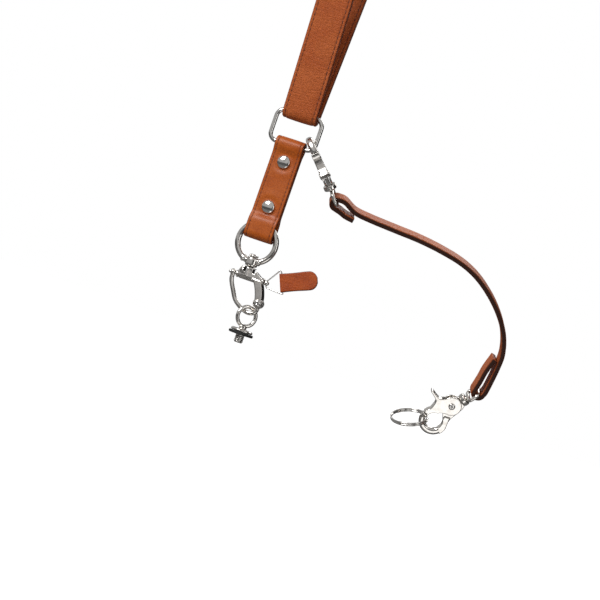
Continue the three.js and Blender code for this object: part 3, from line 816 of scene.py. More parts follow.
def placed(nodes: Nodes, group: Tree, **values: float) -> bpy.types.Node:
    """Places a node group in a material with its own input values."""
    node = nodes.add("Group", node_tree=group)
    for name, value in values.items():
        node.inputs[name].default_value = value
    return node


def new_material(name: str, color: Color) -> tuple[Material, Nodes, bpy.types.Node]:
    """Starts a node material.

    Args:
        name: The material's name.
        color: Its colour in the viewport.

    Returns:
        The material, a hand on its nodes, and its Principled BSDF.
    """
    material = bpy.data.materials.new(name)
    material.use_nodes = True
    material.diffuse_color = rgba(color)
    nodes = Nodes(material.node_tree)
    shader = nodes.add("BsdfPrincipled")
    output = nodes.add("OutputMaterial")
    nodes.link(shader.outputs["BSDF"], output.inputs["Surface"])
    return material, nodes, shader


@dataclass(frozen=True)
class Leather:
    """A leather finish.

    Attributes:
        name: The material's name.
        face: Its main colour.
        deep: The darker tone in pores and folds.
        pale: The lighter tone of rubbed places.
        edge: The colour of the cut and dyed edge, also painted into the stitch channels as shade.
        roughness: Its middle roughness.
        pebble: The strength of the pebbled grain.
        crease: The strength of the cross creases.
        relief: The height of the grain in metres.
        coat: The weight of the clear finish.
        gloss: The strength of its own reflections.
    """

    name: str
    face: Color
    deep: Color
    pale: Color
    edge: Color
    roughness: float = 0.42
    pebble: float = 1.0
    crease: float = 0.5
    relief: float = 0.00012
    coat: float = 0.08
    gloss: float = 0.3

    def material(self, effects: Effects) -> Material:
        """Builds the material on the shared effects."""
        material, nodes, shader = new_material(self.name, self.face)
        grain = placed(nodes, effects.grain, Pebble=self.pebble, Crease=self.crease)
        tones = ((0.34, self.deep), (0.52, self.face), (0.7, self.pale))
        tone = nodes.ramp(grain.outputs["Tone"], tones)
        pores = ((0.1, (0.72, 0.66, 0.62)), (0.34, (1.0, 1.0, 1.0)))
        pore = nodes.ramp(grain.outputs["Pore"], pores)
        color = nodes.mix(1.0, tone.outputs["Color"], pore.outputs["Color"], "MULTIPLY")
        # Painted shade: the stitch channels are darkened towards the edge colour.
        groove = nodes.add("Attribute", attribute_name="groove")
        painted_groove_shade = nodes.math("MULTIPLY", groove.outputs["Fac"], 0.45)
        color = nodes.mix(painted_groove_shade, color, rgba(self.edge))
        rim = nodes.add("Attribute", attribute_name="edge")
        color = nodes.mix(nodes.math("POWER", rim.outputs["Fac"], 1.6), color, rgba(self.edge))
        nodes.link(color, shader.inputs["Base Color"])
        rough = nodes.math("MULTIPLY_ADD", grain.outputs["Tone"], 0.25)
        rough.node.inputs[2].default_value = self.roughness - 0.12
        nodes.link(rough, shader.inputs["Roughness"])
        bump = nodes.add("Bump")
        bump.inputs["Strength"].default_value = 0.8
        bump.inputs["Distance"].default_value = self.relief
        nodes.link(grain.outputs["Height"], bump.inputs["Height"])
        nodes.link(bump.outputs["Normal"], shader.inputs["Normal"])
        shader.inputs["Coat Weight"].default_value = self.coat
        shader.inputs["Coat Roughness"].default_value = 0.28
        shader.inputs["Specular IOR Level"].default_value = self.gloss
        return material


@dataclass(frozen=True)
class Metal:
    """A polished metal finish.

    Attributes:
        name: The material's name.
        color: Its reflection colour.
        dull: The reflection colour in worn places.
        low: The roughness of its brightest places.
        high: The roughness of its dullest places.
        relief: The depth of the polish marks in metres.
    """

    name: str
    color: Color
    dull: Color
    low: float = 0.06
    high: float = 0.22
    relief: float = 0.00001

    def material(self, effects: Effects) -> Material:
        """Builds the material on the shared effects."""
        material, nodes, shader = new_material(self.name, self.color)
        marks = placed(nodes, effects.polish, Scratch=0.6)
        spread = nodes.add("MapRange")
        spread.inputs["From Min"].default_value = 0.45
        spread.inputs["From Max"].default_value = 1.0
        spread.inputs["To Min"].default_value = self.low
        spread.inputs["To Max"].default_value = self.high
        nodes.link(marks.outputs["Rough"], spread.inputs["Value"])
        nodes.link(spread.outputs[0], shader.inputs["Roughness"])
        color = nodes.ramp(marks.outputs["Cloud"], ((0.3, self.dull), (0.6, self.color)))
        nodes.link(color.outputs["Color"], shader.inputs["Base Color"])
        bump = nodes.add("Bump")
        bump.inputs["Strength"].default_value = 0.25
        bump.inputs["Distance"].default_value = self.relief
        nodes.link(marks.outputs["Height"], bump.inputs["Height"])
        nodes.link(bump.outputs["Normal"], shader.inputs["Normal"])
        shader.inputs["Metallic"].default_value = 1.0
        return material


@dataclass(frozen=True)
class Thread:
    """A waxed sewing thread.

    Attributes:
        name: The material's name.
        color: Its main colour.
        painted_strand_shade: The darker colour painted between its strands as shade.
    """

    name: str
    color: Color
    painted_strand_shade: Color

    def material(self) -> Material:
        """Builds the twisted thread's material."""
        material, nodes, shader = new_material(self.name, self.color)
        place = nodes.add("TexCoord").outputs["Object"]
        twist = nodes.add("TexWave", wave_type="BANDS", bands_direction="DIAGONAL")
        twist.inputs["Scale"].default_value = 900.0
        twist.inputs["Distortion"].default_value = 1.5
        nodes.link(place, twist.inputs["Vector"])
        # Painted shade: the twist bands darken the thread between its strands.
        color = nodes.ramp(twist.outputs["Fac"], ((0.25, self.painted_strand_shade), (0.7, self.color)))
        nodes.link(color.outputs["Color"], shader.inputs["Base Color"])
        bump = nodes.add("Bump")
        bump.inputs["Strength"].default_value = 0.4
        bump.inputs["Distance"].default_value = 0.0001
        nodes.link(twist.outputs["Fac"], bump.inputs["Height"])
        nodes.link(bump.outputs["Normal"], shader.inputs["Normal"])
        shader.inputs["Roughness"].default_value = 0.6
        return material


@dataclass(frozen=True)
class Rubber:
    """A matt rubber finish.

    Attributes:
        name: The material's name.
        color: Its colour.
        worn: Its colour in dusty places.
    """

    name: str
    color: Color
    worn: Color

    def material(self) -> Material:
        """Builds the speckled rubber material."""
        material, nodes, shader = new_material(self.name, self.color)
        speck = nodes.add("TexNoise")
        speck.inputs["Scale"].default_value = 1400.0
        speck.inputs["Detail"].default_value = 5.0
        nodes.link(nodes.add("TexCoord").outputs["Object"], speck.inputs["Vector"])
        color = nodes.ramp(speck.outputs["Fac"], ((0.45, self.color), (0.72, self.worn)))
        nodes.link(color.outputs["Color"], shader.inputs["Base Color"])
        rough = nodes.ramp(speck.outputs["Fac"], ((0.3, (0.62,) * 3), (0.7, (0.85,) * 3)))
        nodes.link(rough.outputs["Color"], shader.inputs["Roughness"])
        bump = nodes.add("Bump")
        bump.inputs["Strength"].default_value = 0.3
        bump.inputs["Distance"].default_value = 0.00008
        nodes.link(speck.outputs["Fac"], bump.inputs["Height"])
        nodes.link(bump.outputs["Normal"], shader.inputs["Normal"])
        return material


@dataclass
class Finishes:
    """All finishes of the strap, as materials."""

    effects: Effects
    band: Material = field(init=False)
    tab: Material = field(init=False)
    tether: Material = field(init=False)
    pull: Material = field(init=False)
    metal: Material = field(init=False)
    cast: Material = field(init=False)
    thread: Material = field(init=False)
    rubber: Material = field(init=False)

    def __post_init__(self) -> None:
        """Builds each material once."""
        self.band = Leather(
            "band_leather", (0.5, 0.112, 0.022), (0.46, 0.094, 0.016), (0.54, 0.13, 0.03),
            (0.15, 0.028, 0.008), roughness=0.55, pebble=0.8, crease=1.1, relief=0.0005, gloss=0.25,
        ).material(self.effects)
        self.tab = Leather(
            "tab_leather", (0.47, 0.1, 0.01), (0.41, 0.078, 0.006), (0.51, 0.118, 0.016),
            (0.12, 0.022, 0.006), roughness=0.4, pebble=0.4, crease=0.4, relief=0.0002,
            coat=0.1, gloss=0.25,
        ).material(self.effects)
        self.tether = Leather(
            "tether_leather", (0.47, 0.12, 0.035), (0.38, 0.085, 0.02), (0.54, 0.155, 0.055),
            (0.035, 0.01, 0.005), roughness=0.55, pebble=0.4, crease=0.5, relief=0.0002, gloss=0.15,
        ).material(self.effects)
        self.pull = Leather(
            "pull_leather", (0.42, 0.07, 0.007), (0.26, 0.036, 0.004), (0.48, 0.092, 0.012),
            (0.12, 0.02, 0.006), roughness=0.5, pebble=0.5, crease=0.9, relief=0.0003,
        ).material(self.effects)
        self.metal = Metal(
            "polished_wire", (0.8, 0.78, 0.75), (0.64, 0.62, 0.59)
        ).material(self.effects)
        self.cast = Metal(
            "polished_casting", (0.8, 0.77, 0.73), (0.6, 0.57, 0.53),
            low=0.09, high=0.28, relief=0.00002,
        ).material(self.effects)
        self.thread = Thread(
            "brown_thread", (0.19, 0.042, 0.014), (0.09, 0.02, 0.008)
        ).material()
        self.rubber = Rubber(
            "pad_rubber", (0.012, 0.012, 0.012), (0.04, 0.038, 0.036)
        ).material()


# Sub-assemblies. All sizes are in millimetres.
@dataclass
class NeckBand:
    """The closed neck band with its four rows of stitches."""

    width: float = 24.5
    thickness: float = 3.2
    neck_radius: float = 66.0
    ring_wire: float = 3.0
    fold_gap: float = 0.48
    stitch_inset: float = 2.3
    stitch_pitch: float = 3.5
    stitch_length: float = 2.5
    thread: float = 0.62

    def path(self) -> list[Vector]:
        """Gives the band's centre line in the YZ plane, closed."""
        _, ring_top = node_box("rect_ring")
        bar = ring_top.z - self.ring_wire / 2
        fold = self.ring_wire / 2 + self.fold_gap + self.thickness / 2
        centre = self.neck_radius + self.thickness / 2
        lean = math.degrees(math.asin((centre - fold) / (-self.neck_radius - bar)))
        over = arc((0.0, -self.neck_radius), centre, -lean, 180 + lean, 2.0)
        under = arc((0.0, bar), fold, 180 + lean, 360 - lean, 8.0)
        return [Vector((0.0, y, z)) for y, z in over + under]

    def build(self, finishes: Finishes) -> None:
        """Makes the band and its stitches."""
        path = evenly(self.path(), 2.2, closed=True)
        section = strap_section(self.width, self.thickness, 0.9, self.stitch_inset, 0.25, 0.4)
        band = sweep(path, ACROSS, section, closed=True)
        finished("neck_band_leather", band, finishes.band, Body.STRAP, ["neck_band"])
        seats = stations(evenly(self.path(), self.stitch_pitch, closed=True), ACROSS, True)
        rows = []
        for place in seats:
            x, y, z = (place.col[i].to_3d() for i in range(3))
            for side in (-1, 1):
                for face in (-1, 1):
                    spot = place.translation + x * side * (self.width / 2 - self.stitch_inset)
                    rows.append((spot + y * face * self.thickness / 2, z, y * face))
        thread = stitches(rows, self.stitch_length, self.thread, 0.16)
        finished("neck_band_stitches", thread, finishes.thread, Body.STRAP)


@dataclass
class RectRing:
    """The rectangular ring between neck band and tab."""

    wire: float = 3.0
    corner: float = 5.5

    def build(self, finishes: Finishes) -> None:
        """Makes the bent wire."""
        low, high = node_box("rect_ring")
        width, height = high.x - low.x - self.wire, high.z - low.z - self.wire
        place = Matrix.Translation(node_middle("rect_ring"))
        path = in_plane(rounded_box(width, height, self.corner, 4.0), place)
        section = round_section(self.wire, 24)
        ring = sweep(evenly(path, 0.9, True), DEPTH, section, closed=True)
        finished("rect_ring_wire", ring, finishes.metal, Body.STRAP, ["rect_ring"])


@dataclass
class RingTab:
    """The folded tab with its stitches and two domed screws."""

    width: float = 20.4
    thickness: float = 2.4
    gap: float = 0.3
    fold_gap: float = 0.48
    ring_wire: float = 3.0
    bail_wire: float = 4.0
    cap: float = 9.0
    cap_height: float = 1.9
    post: float = 4.0
    clamp_margin: float = 3.9
    seam_gap: float = 0.12
    stitch_inset: float = 2.1
    stitch_pitch: float = 2.9
    stitch_length: float = 1.9
    thread: float = 0.5

    def layer_curve(
        self, from_half: float, from_z: float, to_half: float, to_z: float, side: int
    ) -> list[Point]:
        """Gives one layer's soft step from one half spacing to another, as (y, z)."""
        points = []
        for i in range(13):
            t = i / 12
            weights = ((1 - t) ** 3 + 3 * (1 - t) ** 2 * t, 3 * (1 - t) * t ** 2 + t ** 3)
            z_weights = ((1 - t) ** 3, 3 * (1 - t) ** 2 * t + 3 * (1 - t) * t ** 2, t ** 3)
            y = side * (weights[0] * from_half + weights[1] * to_half)
            z = z_weights[0] * from_z + z_weights[1] * (from_z + to_z) / 2 + z_weights[2] * to_z
            points.append((y, z))
        return points

    def path(self) -> list[Vector]:
        """Gives the strip's centre line in the YZ plane, from one butted end to the other."""
        ring_low, _ = node_box("rect_ring")
        bar = ring_low.z + self.ring_wire / 2
        top_fold = self.ring_wire / 2 + self.fold_gap + self.thickness / 2
        foot_fold = self.bail_wire / 2 + self.gap + self.thickness / 2
        tab_low, _ = node_box("ring_tab")
        foot = tab_low.z + self.thickness / 2 + foot_fold
        upper = node_middle("tab_screw_upper").z + self.clamp_margin
        lower = node_middle("tab_screw_lower").z - self.clamp_margin
        _, bail_high = node_box("bail")
        swell = bail_high.z - self.bail_wire / 2
        half = (self.thickness + self.gap) / 2
        seam = (upper + lower) / 2
        line = [(half, seam + self.seam_gap / 2), *self.layer_curve(half, upper, top_fold, bar, 1)]
        line += arc((0.0, bar), top_fold, 0, 180, 7.5)[1:]
        line += self.layer_curve(top_fold, bar, half, upper, -1)[1:]
        line += self.layer_curve(half, lower, foot_fold, swell, -1)
        line += arc((0.0, foot), foot_fold, 180, 360, 7.5)
        line += self.layer_curve(foot_fold, swell, half, lower, 1)
        line.append((half, seam - self.seam_gap / 2))
        return [Vector((0.0, y, z)) for y, z in line]

    def press(self, strip: Mesh) -> None:
        """Raises the leather against each screw cap and dishes it round the cap."""
        for screw in ("tab_screw_upper", "tab_screw_lower"):
            centre = node_middle(screw)
            for vertex in strip.verts:
                away = math.hypot(vertex.co.x - centre.x, vertex.co.z - centre.z)
                side = math.copysign(1.0, vertex.co.y)
                if away > 12 or abs(vertex.co.y) < self.thickness * 0.8:
                    continue
                dish = -0.42 * math.exp(-((away - 5.4) / 1.7) ** 2)
                lift = 0.3 * math.exp(-((away / 4.4) ** 4))
                crown = 0.14 * math.exp(-((away - 8.6) / 2.4) ** 2) * (1 - abs(vertex.co.x) / 11)
                vertex.co.y += side * (dish + lift + crown)

    def build(self, finishes: Finishes) -> None:
        """Makes the tab, its stitches and its screws."""
        path = evenly(self.path(), 0.75)
        section = strap_section(self.width, self.thickness, 0.75, self.stitch_inset, 0.14, 0.12)
        strip = sweep(path, ACROSS, section)
        self.press(strip)
        finished("ring_tab_leather", strip, finishes.tab, Body.STRAP, ["ring_tab"])
        rows = []
        for place in stations(evenly(self.path(), self.stitch_pitch), ACROSS, False)[1:-1]:
            x, y, z = (place.col[i].to_3d() for i in range(3))
            outward = y if y.dot(Vector((0, place.translation.y, 0))) > 0 else -y
            for side in (-1, 1):
                spot = place.translation + x * side * (self.width / 2 - self.stitch_inset)
                rows.append((spot + outward * self.thickness / 2, z, outward))
        thread = stitches(rows, self.stitch_length, self.thread, 0.13)
        finished("ring_tab_stitches", thread, finishes.thread, Body.STRAP)
        for name in ("tab_screw_upper", "tab_screw_lower"):
            self.screw(name, finishes)

    def screw(self, name: str, finishes: Finishes) -> None:
        """Makes one screw: a domed cap in front and a slotted cap behind."""
        seat = (self.thickness + self.gap) / 2 + self.thickness / 2 + self.gap
        radius = self.cap / 2
        place = frame_of(node_middle(name), Vector((0, 0, 1)), Vector((1, 0, 0)), DEPTH)
        dome = [(radius * x, h) for x, h in arc((0.0, 0.0), 1.0, 0, 90, 9)]
        rim, rise, post = seat + 0.25, self.cap_height - 0.3, self.post / 2
        front = [(r, -rim - h * rise) for r, h in reversed(dome)]
        back = [(r, rim + h * rise) for r, h in dome]
        rows = [*front, (radius, -seat), (post, -seat), (post, seat), (radius, seat), *back]
        rows[0], rows[-1] = (0.0, rows[0][1]), (0.0, rows[-1][1])
        body = turned(rows, place, 48)
        slot = box(5.4, 1.6, 1.0, node_middle(name) + Vector((0, seat + self.cap_height, 0)))
        finished(name + "_cap", less(body, [slot]), finishes.metal, Body.STRAP, [name])
        slot.free()


@dataclass
class Bail:
    """The round bail with the boss that its swivel turns in."""

    wire: float = 4.0
    boss: float = 8.6
    boss_height: float = 6.6
    stem: float = 4.0
    gap: float = 0.3
    collar_turn: float = 24.0

    def collar(self, centre: Vector, radius: float, angle: float) -> Mesh:
        """Makes a round bead on the wire at an angle in degrees."""
        turn = math.radians(angle)
        outward = Vector((math.cos(turn), 0, math.sin(turn)))
        tangent = Vector((-math.sin(turn), 0, math.cos(turn)))
        place = frame_of(centre + outward * radius, outward, tangent.cross(outward), tangent)
        rim = self.wire / 2 + 0.65
        rows = [(0, -0.9), (rim - 0.5, -0.9), (rim, -0.35), (rim, 0.35), (rim - 0.5, 0.9), (0, 0.9)]
        return turned(rows, place)

    def build(self, finishes: Finishes) -> None:
        """Makes the ring and its boss as one casting."""
        low, high = node_box("bail")
        radius = (high.x - low.x - self.wire) / 2
        centre = Vector((0.0, 0.0, high.z - self.wire / 2 - radius))
        path = [centre + Vector((x, 0, z)) for x, z in arc((0, 0), radius, 0, 360, 3.0)[:-1]]
        ring = sweep(path, DEPTH, round_section(self.wire, 24), closed=True)
        axis = joint_point("shackle_swivel")
        seat = Matrix.Translation(Vector((axis.x, 0.0, centre.z - radius)))
        half, rim = self.boss_height / 2, self.boss / 2
        profile = [(0, -half), (rim - 1.2, -half), (rim - 0.3, -half + 0.6), (rim, -half + 1.6),
                   (rim, half - 1.6), (rim - 0.3, half - 0.6), (rim - 1.2, half), (0, half)]
        boss = turned(profile, seat)
        bore = rod(self.stem + 2 * self.gap, -half - 2, half + 2, seat)
        collars = [self.collar(centre, radius, 270 + side * self.collar_turn) for side in (-1, 1)]
        casting = cast([ring, boss, *collars], [bore], voxel=0.22, rounds=5)
        finished("bail_ring", casting, finishes.cast, Body.STRAP, ["bail"])


@dataclass
class Shackle:
    """The swivel snap shackle: body, jaw, plunger, pull wire, pull tab and screw eye."""

    gap: float = 0.3
    stem: float = 4.0
    stem_head: float = 6.4
    arch_top: float = 9.6
    arch_depth: float = 6.4
    barrel: float = 5.0
    barrel_length: float = 20.4
    window: Point = (2.2, 3.2)
    leg_top: float = 7.0
    leg_waist: float = 4.4
    hinge_radius: float = 3.3
    fork: float = 7.4
    lug: float = 3.2
    pin: float = 2.6
    pin_head: float = 4.6
    pin_head_height: float = 1.1
    jaw_wire: float = 3.0
    plunger: float = 2.2
    plunger_head_length: float = 3.0
    pull_wire: float = 0.9
    pull_reach: float = 8.6
    pull_rise: float = 2.9
    pull_wall: float = 1.1
    pull_length: float = 26.0
    pull_width: float = 12.7
    pull_thickness: float = 2.8
    pull_tilt: float = 23.0
    eye_wire: float = 2.7
    eye_inner: float = 10.6
    eye_turn: float = 42.0
    stud: float = 6.35
    stud_turns: int = 5
    flange: float = 15.0
    flange_height: float = 1.8

    def __post_init__(self) -> None:
        """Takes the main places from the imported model."""
        self.axis_x = joint_point("shackle_swivel").x
        self.hinge = joint_point("jaw_hinge")
        low, high = node_box("plunger")
        self.plunger_low, self.plunger_high = low, high
        self.barrel_z = node_middle("plunger").z
        body_low, body_high = node_box("shackle_body")
        self.barrel_left = body_low.x
        self.head_top = body_high.z
        self.barrel_right = self.barrel_left + self.barrel_length
        bail_low, _ = node_box("bail")
        self.arch_top_z = bail_low.z - self.gap

    def along_x(self) -> Matrix:
        """Gives a frame whose Z axis is the plunger's axis."""
        return frame_of(Vector((0, 0, self.barrel_z)), DEPTH, Vector((0, 0, 1)), ACROSS)

    def along_y(self, point: Vector) -> Matrix:
        """Gives a frame at a point whose Z axis is the model's Y axis."""
        return frame_of(point, UP, ACROSS, DEPTH)

    def body(self, finishes: Finishes) -> None:
        """Makes the body as one casting."""
        x, top, left, right = self.axis_x, self.arch_top_z, self.barrel_left, self.barrel_right
        z, middle = self.barrel_z, (self.arch_top_z + self.barrel_z) / 2
        half = self.arch_top / 2
        arch = bezier((x - half + 0.9, top), (x - half, top - 0.2), (x - half - 0.3, top - 1.4), 5)
        arch += bezier((x - half - 0.3, top - 1.4), (left + 1, middle), (left + 1.3, z + 1))
        arch += [(left + 1.3, z - 1), (right - 1.6, z - 1)]
        arch += bezier((right - 1.6, z + 1.4), (right - 4, middle), (x + half + 0.3, top - 1.4))
        arch += bezier((x + half + 0.3, top - 1.4), (x + half, top - 0.2), (x + half - 0.9, top), 5)
        hx, hz = self.hinge.x, self.hinge.z
        drop = z - hz
        waist, foot = self.leg_waist, self.leg_waist / 2
        leg_start = (right - 1 - self.leg_top, z)
        leg = bezier(leg_start, (hx - waist, z - drop * 0.35), (hx - foot, hz), 16)
        leg += bezier((hx + foot, hz), (hx + foot, z - drop * 0.6), (right - 1.5, z), 16)
        shank = Matrix.Translation(Vector((x, 0, 0)))
        stem_foot = self.head_top - 1.8
        head, throat = self.stem_head / 2, self.stem / 2
        stem_rows = [
            (0, top - 1), (throat, top - 1), (throat, stem_foot), (head - 0.3, stem_foot),
            (head, stem_foot + 0.5), (head - 0.2, stem_foot + 1.2), (head - 1.2, self.head_top),
            (0, self.head_top),
        ]
        collar = self.arch_top * 0.43
        collar_rows = [
            (0, top - 1.8), (collar + 0.2, top - 1.8), (collar, top - 0.4), (collar - 0.5, top),
            (0, top),
        ]
        rim = self.barrel / 2
        tube_rows = [
            (0, left), (rim - 0.5, left), (rim, left + 0.5), (rim, left + 1.4),
            (rim - 0.35, left + 1.8), (rim - 0.35, left + 2.3), (rim, left + 2.7),
            (rim, right - 0.6), (rim - 0.6, right), (0, right),
        ]
        plane = Matrix.Identity(4)
        fork = self.along_y(self.hinge)
        fork_half = self.fork / 2
        boss = self.hinge_radius
        boss_rows = [
            (0, -fork_half), (boss - 0.6, -fork_half), (boss, -fork_half + 0.7),
            (boss, fork_half - 0.7), (boss - 0.6, fork_half), (0, fork_half),
        ]
        lobe = ball(Vector((x - 3.0, -0.9, middle + 0.1)), Vector((3.2, 3.4, 2.8)))
        rib = rod(2.3, z, top - 1.0, Matrix.Translation(Vector((x, -self.arch_depth / 2, 0))), 20)
        window_z = (top + z + rim) / 2
        centre = (left + right + 2 * x) / 4
        shift = self.arch_top * 0.33
        windows = [
            box(self.window[0], 30, self.window[1], Vector((centre + side * shift, 0, window_z)))
            for side in (-1, 1)
        ]
        slot = self.lug / 2 + self.gap
        cutters = [
            *windows,
            rod(self.plunger + 2 * self.gap, left - 3, right + 3, self.along_x()),
            rod(2 * (boss + self.gap), -slot, slot, fork),
            rod(self.pin + 2 * self.gap, -self.fork, self.fork, fork),
        ]
        parts = [
            plate(arch, self.arch_depth, plane, 1.3),
            plate(leg, self.fork, plane, 1.2),
            turned(stem_rows, shank),
            turned(collar_rows, shank),
            turned(tube_rows, self.along_x()),
            turned(boss_rows, fork),
            lobe,
            rib,
        ]
        finished(
            "shackle_casting", cast(parts, cutters, voxel=0.18, rounds=5), finishes.cast,
            Body.SHACKLE, ["shackle_body"],
        )
        pin = rivet(self.pin, self.pin_head, self.pin_head_height, self.fork, fork)
        finished("hinge_rivet", pin, finishes.metal, Body.SHACKLE, ["hinge_pin"])

    def jaw(self, finishes: Finishes) -> None:
        """Makes the jaw as one casting."""
        x, z = self.hinge.x, self.hinge.z
        boss_x = self.barrel_left - self.gap - 0.4 - 1.8
        bend = [(0, 0), (0.2, -5), (-2.2, -7.6), (-7.4, -7.7), (-15.4, -3.4), (-20, 3.2)]
        knots = [(x + right, z + up) for right, up in bend]
        knots += [(boss_x + 0.5, self.barrel_z - 5), (boss_x, self.barrel_z)]
        line = smooth_through([Vector((a, 0, b)) for a, b in knots], 14)
        arm = sweep(evenly(line, 0.5), DEPTH, round_section(self.jaw_wire, 24))
        lug_half = self.lug / 2
        lug = rod(2 * self.hinge_radius, -lug_half, lug_half, self.along_y(self.hinge))
        bead = [
            (0, -1.8), (1.4, -1.7), (2.0, -1.1), (2.3, -0.3), (2.3, 0.3), (2.0, 1.1), (1.4, 1.7),
            (0, 1.8),
        ]
        knob_place = self.along_x() @ Matrix.Translation(Vector((0, 0, boss_x)))
        knob = turned(bead, knob_place)
        bore = rod(self.plunger + 2 * self.gap, boss_x - 5, boss_x + 5, self.along_x())
        hole = rod(self.pin + 2 * self.gap, -self.fork, self.fork, self.along_y(self.hinge))
        casting = cast([arm, lug, knob], [bore, hole], voxel=0.18, rounds=4)
        finished("jaw_casting", casting, finishes.cast, Body.JAW, ["jaw"])

    def plunger_set(self, finishes: Finishes) -> None:
        """Makes the plunger, its wire and its pull tab."""
        left, right = self.plunger_low.x, self.plunger_high.x
        radius = self.plunger / 2
        head = (self.plunger_high.z - self.plunger_low.z) / 2
        head_left = right - self.plunger_head_length
        rows = [
            (0, left), (radius * 0.5, left), (radius * 0.9, left + 0.3), (radius, left + 0.8),
            (radius, head_left), (head - 0.3, head_left), (head, head_left + 0.4),
            (head, right - 0.9), (head - 0.5, right - 0.3), (head * 0.4, right), (0, right),
        ]
        pin = turned(rows, self.along_x())
        apex_x = right - self.plunger_head_length / 2
        cross = Matrix.Translation(Vector((apex_x, 0, self.barrel_z)))
        hole = rod(self.pull_wire + 2 * self.gap, -5, 5, cross, 20)
        finished(
            "plunger_pin", less(pin, [hole]), finishes.metal, Body.PLUNGER, ["plunger"]
        )
        hole.free()
        root = Vector((apex_x + self.pull_reach, 0, self.barrel_z + self.pull_rise))
        tilt = math.radians(self.pull_tilt)
        forward = Vector((math.cos(tilt), 0, math.sin(tilt)))
        sideways = Vector((-math.sin(tilt), 0, math.cos(tilt)))
        inset = self.pull_wall + self.pull_wire / 2
        reach = self.pull_width / 2 + 1.4
        wire_root = root + forward * inset
        near = reach - 0.3
        knots = [
            Vector((apex_x, 0, self.barrel_z - 1.9)),
            Vector((apex_x, 0, self.barrel_z + 1.9)),
            Vector((apex_x + 0.9, 0, self.barrel_z + 3.1)),
            wire_root + sideways * reach + Vector((-1.0, 0, 0.2)),
            wire_root + sideways * near + forward * 0.1,
            wire_root - sideways * near,
            wire_root - sideways * reach + Vector((-1.1, 0, 0.1)),
            Vector((apex_x + 1.0, 0, self.barrel_z - 2.9)),
        ]
        section = round_section(self.pull_wire, 12)
        wire = sweep(evenly(knots, 0.45, True), DEPTH, section, closed=True)
        finished("pull_wire_loop", wire, finishes.metal, Body.PLUNGER, ["pull_wire"])
        self.pull_tab(root, forward, sideways, finishes)

    def pull_tab(self, root: Vector, forward: Vector, sideways: Vector, finishes: Finishes) -> None:
        """Makes the leather tongue: thicker at its root, pinched, and round at its end."""
        count = 44
        path, scale = [], []
        half = self.pull_width / 2
        for i in range(count + 1):
            share = i / count
            distance = self.pull_length * (0.01 + 0.98 * share)
            from_end = self.pull_length - distance
            round_off = min(1.0, from_end / (half * 0.9))
            width = math.sqrt(max(0.02, 1 - (1 - round_off) ** 2.2))
            width *= 1 - 0.035 * math.sin(math.pi * min(1.0, share * 1.5))
            thick = 0.94 + 0.06 * math.exp(-((share - 0.06) / 0.05) ** 2)
            thick -= 0.16 * max(0.0, share - 0.75)
            bow = 0.45 * math.sin(share * math.pi * 1.1) * share
            path.append(root + forward * distance + Vector((0, -bow, 0)))
            scale.append((width, thick))
        section = strap_section(self.pull_width, self.pull_thickness, 0.8)
        tongue = sweep(path, sideways, section, scale=scale)
        finished("pull_tab_leather", tongue, finishes.pull, Body.PLUNGER, ["pull_tab"])

    def screw_eye(self, finishes: Finishes) -> None:
        """Makes the screw eye and its pad."""
        eye_low, _ = node_box("screw_eye")
        pad_low, pad_high = node_box("eye_pad")
        centre_x = (pad_low.x + pad_high.x) / 2
        radius = (self.eye_inner + self.eye_wire) / 2
        flange_foot = pad_high.z + self.gap
        flange_top = flange_foot + self.flange_height
        centre = Vector((centre_x, 0, flange_top + 0.9 + radius + self.eye_wire / 2))
        turn = Matrix.Rotation(math.radians(self.eye_turn), 4, "Z")
        place = Matrix.Translation(centre) @ turn
        path = in_plane(arc((0, 0), radius, 0, 360, 4)[:-1], place)
        ring = sweep(path, turn @ DEPTH, round_section(self.eye_wire, 24), closed=True)
        stud = self.stud / 2
        foot = eye_low.z
        rows = [(0, foot), (stud - 0.8, foot), (stud, foot + 0.8)]
        pitch = (flange_foot - 1.0 - foot - 1.2) / self.stud_turns
        groove = stud - 0.45
        for i in range(self.stud_turns):
            start = foot + 1.0 + i * pitch
            rows += [(stud, start), (groove, start + pitch * 0.42)]
            rows += [(groove, start + pitch * 0.55), (stud, start + pitch * 0.95)]
        flange = self.flange / 2
        rows += [
            (stud - 0.3, flange_foot - 0.4), (stud, flange_foot), (flange - 0.3, flange_foot),
            (flange, flange_foot + 0.4), (flange, flange_top - 0.7), (flange - 0.7, flange_top),
            (2.9, flange_top), (2.5, flange_top + 0.5), (2.5, centre.z - radius),
            (0, centre.z - radius),
        ]
        screw = turned(rows, Matrix.Translation(Vector((centre_x, 0, 0))), 48)
        finished(
            "screw_eye_casting", cast([ring, screw], voxel=0.2, rounds=3), finishes.cast,
            Body.JAW, ["screw_eye"],
        )
        inner, outer = stud + self.gap, (pad_high.x - pad_low.x) / 2
        low, top = pad_low.z, pad_high.z
        pad_rows = [(inner, low), (outer - 0.5, low), (outer, low + 0.5)]
        for i in range(3):
            level = low + 0.5 + i * 0.3
            pad_rows += [(outer, level), (outer - 0.18, level + 0.1), (outer, level + 0.2)]
        pad_rows += [(outer, top - 0.4), (outer - 0.4, top), (inner, top), (inner, low)]
        pad = turned(pad_rows, Matrix.Translation(Vector((centre_x, 0, 0))), 56)
        finished("eye_pad_rubber", pad, finishes.rubber, Body.JAW, ["eye_pad"])

    def build(self, finishes: Finishes) -> None:
        """Makes the whole shackle."""
        self.body(finishes)
        self.jaw(finishes)
        self.plunger_set(finishes)
        self.screw_eye(finishes)


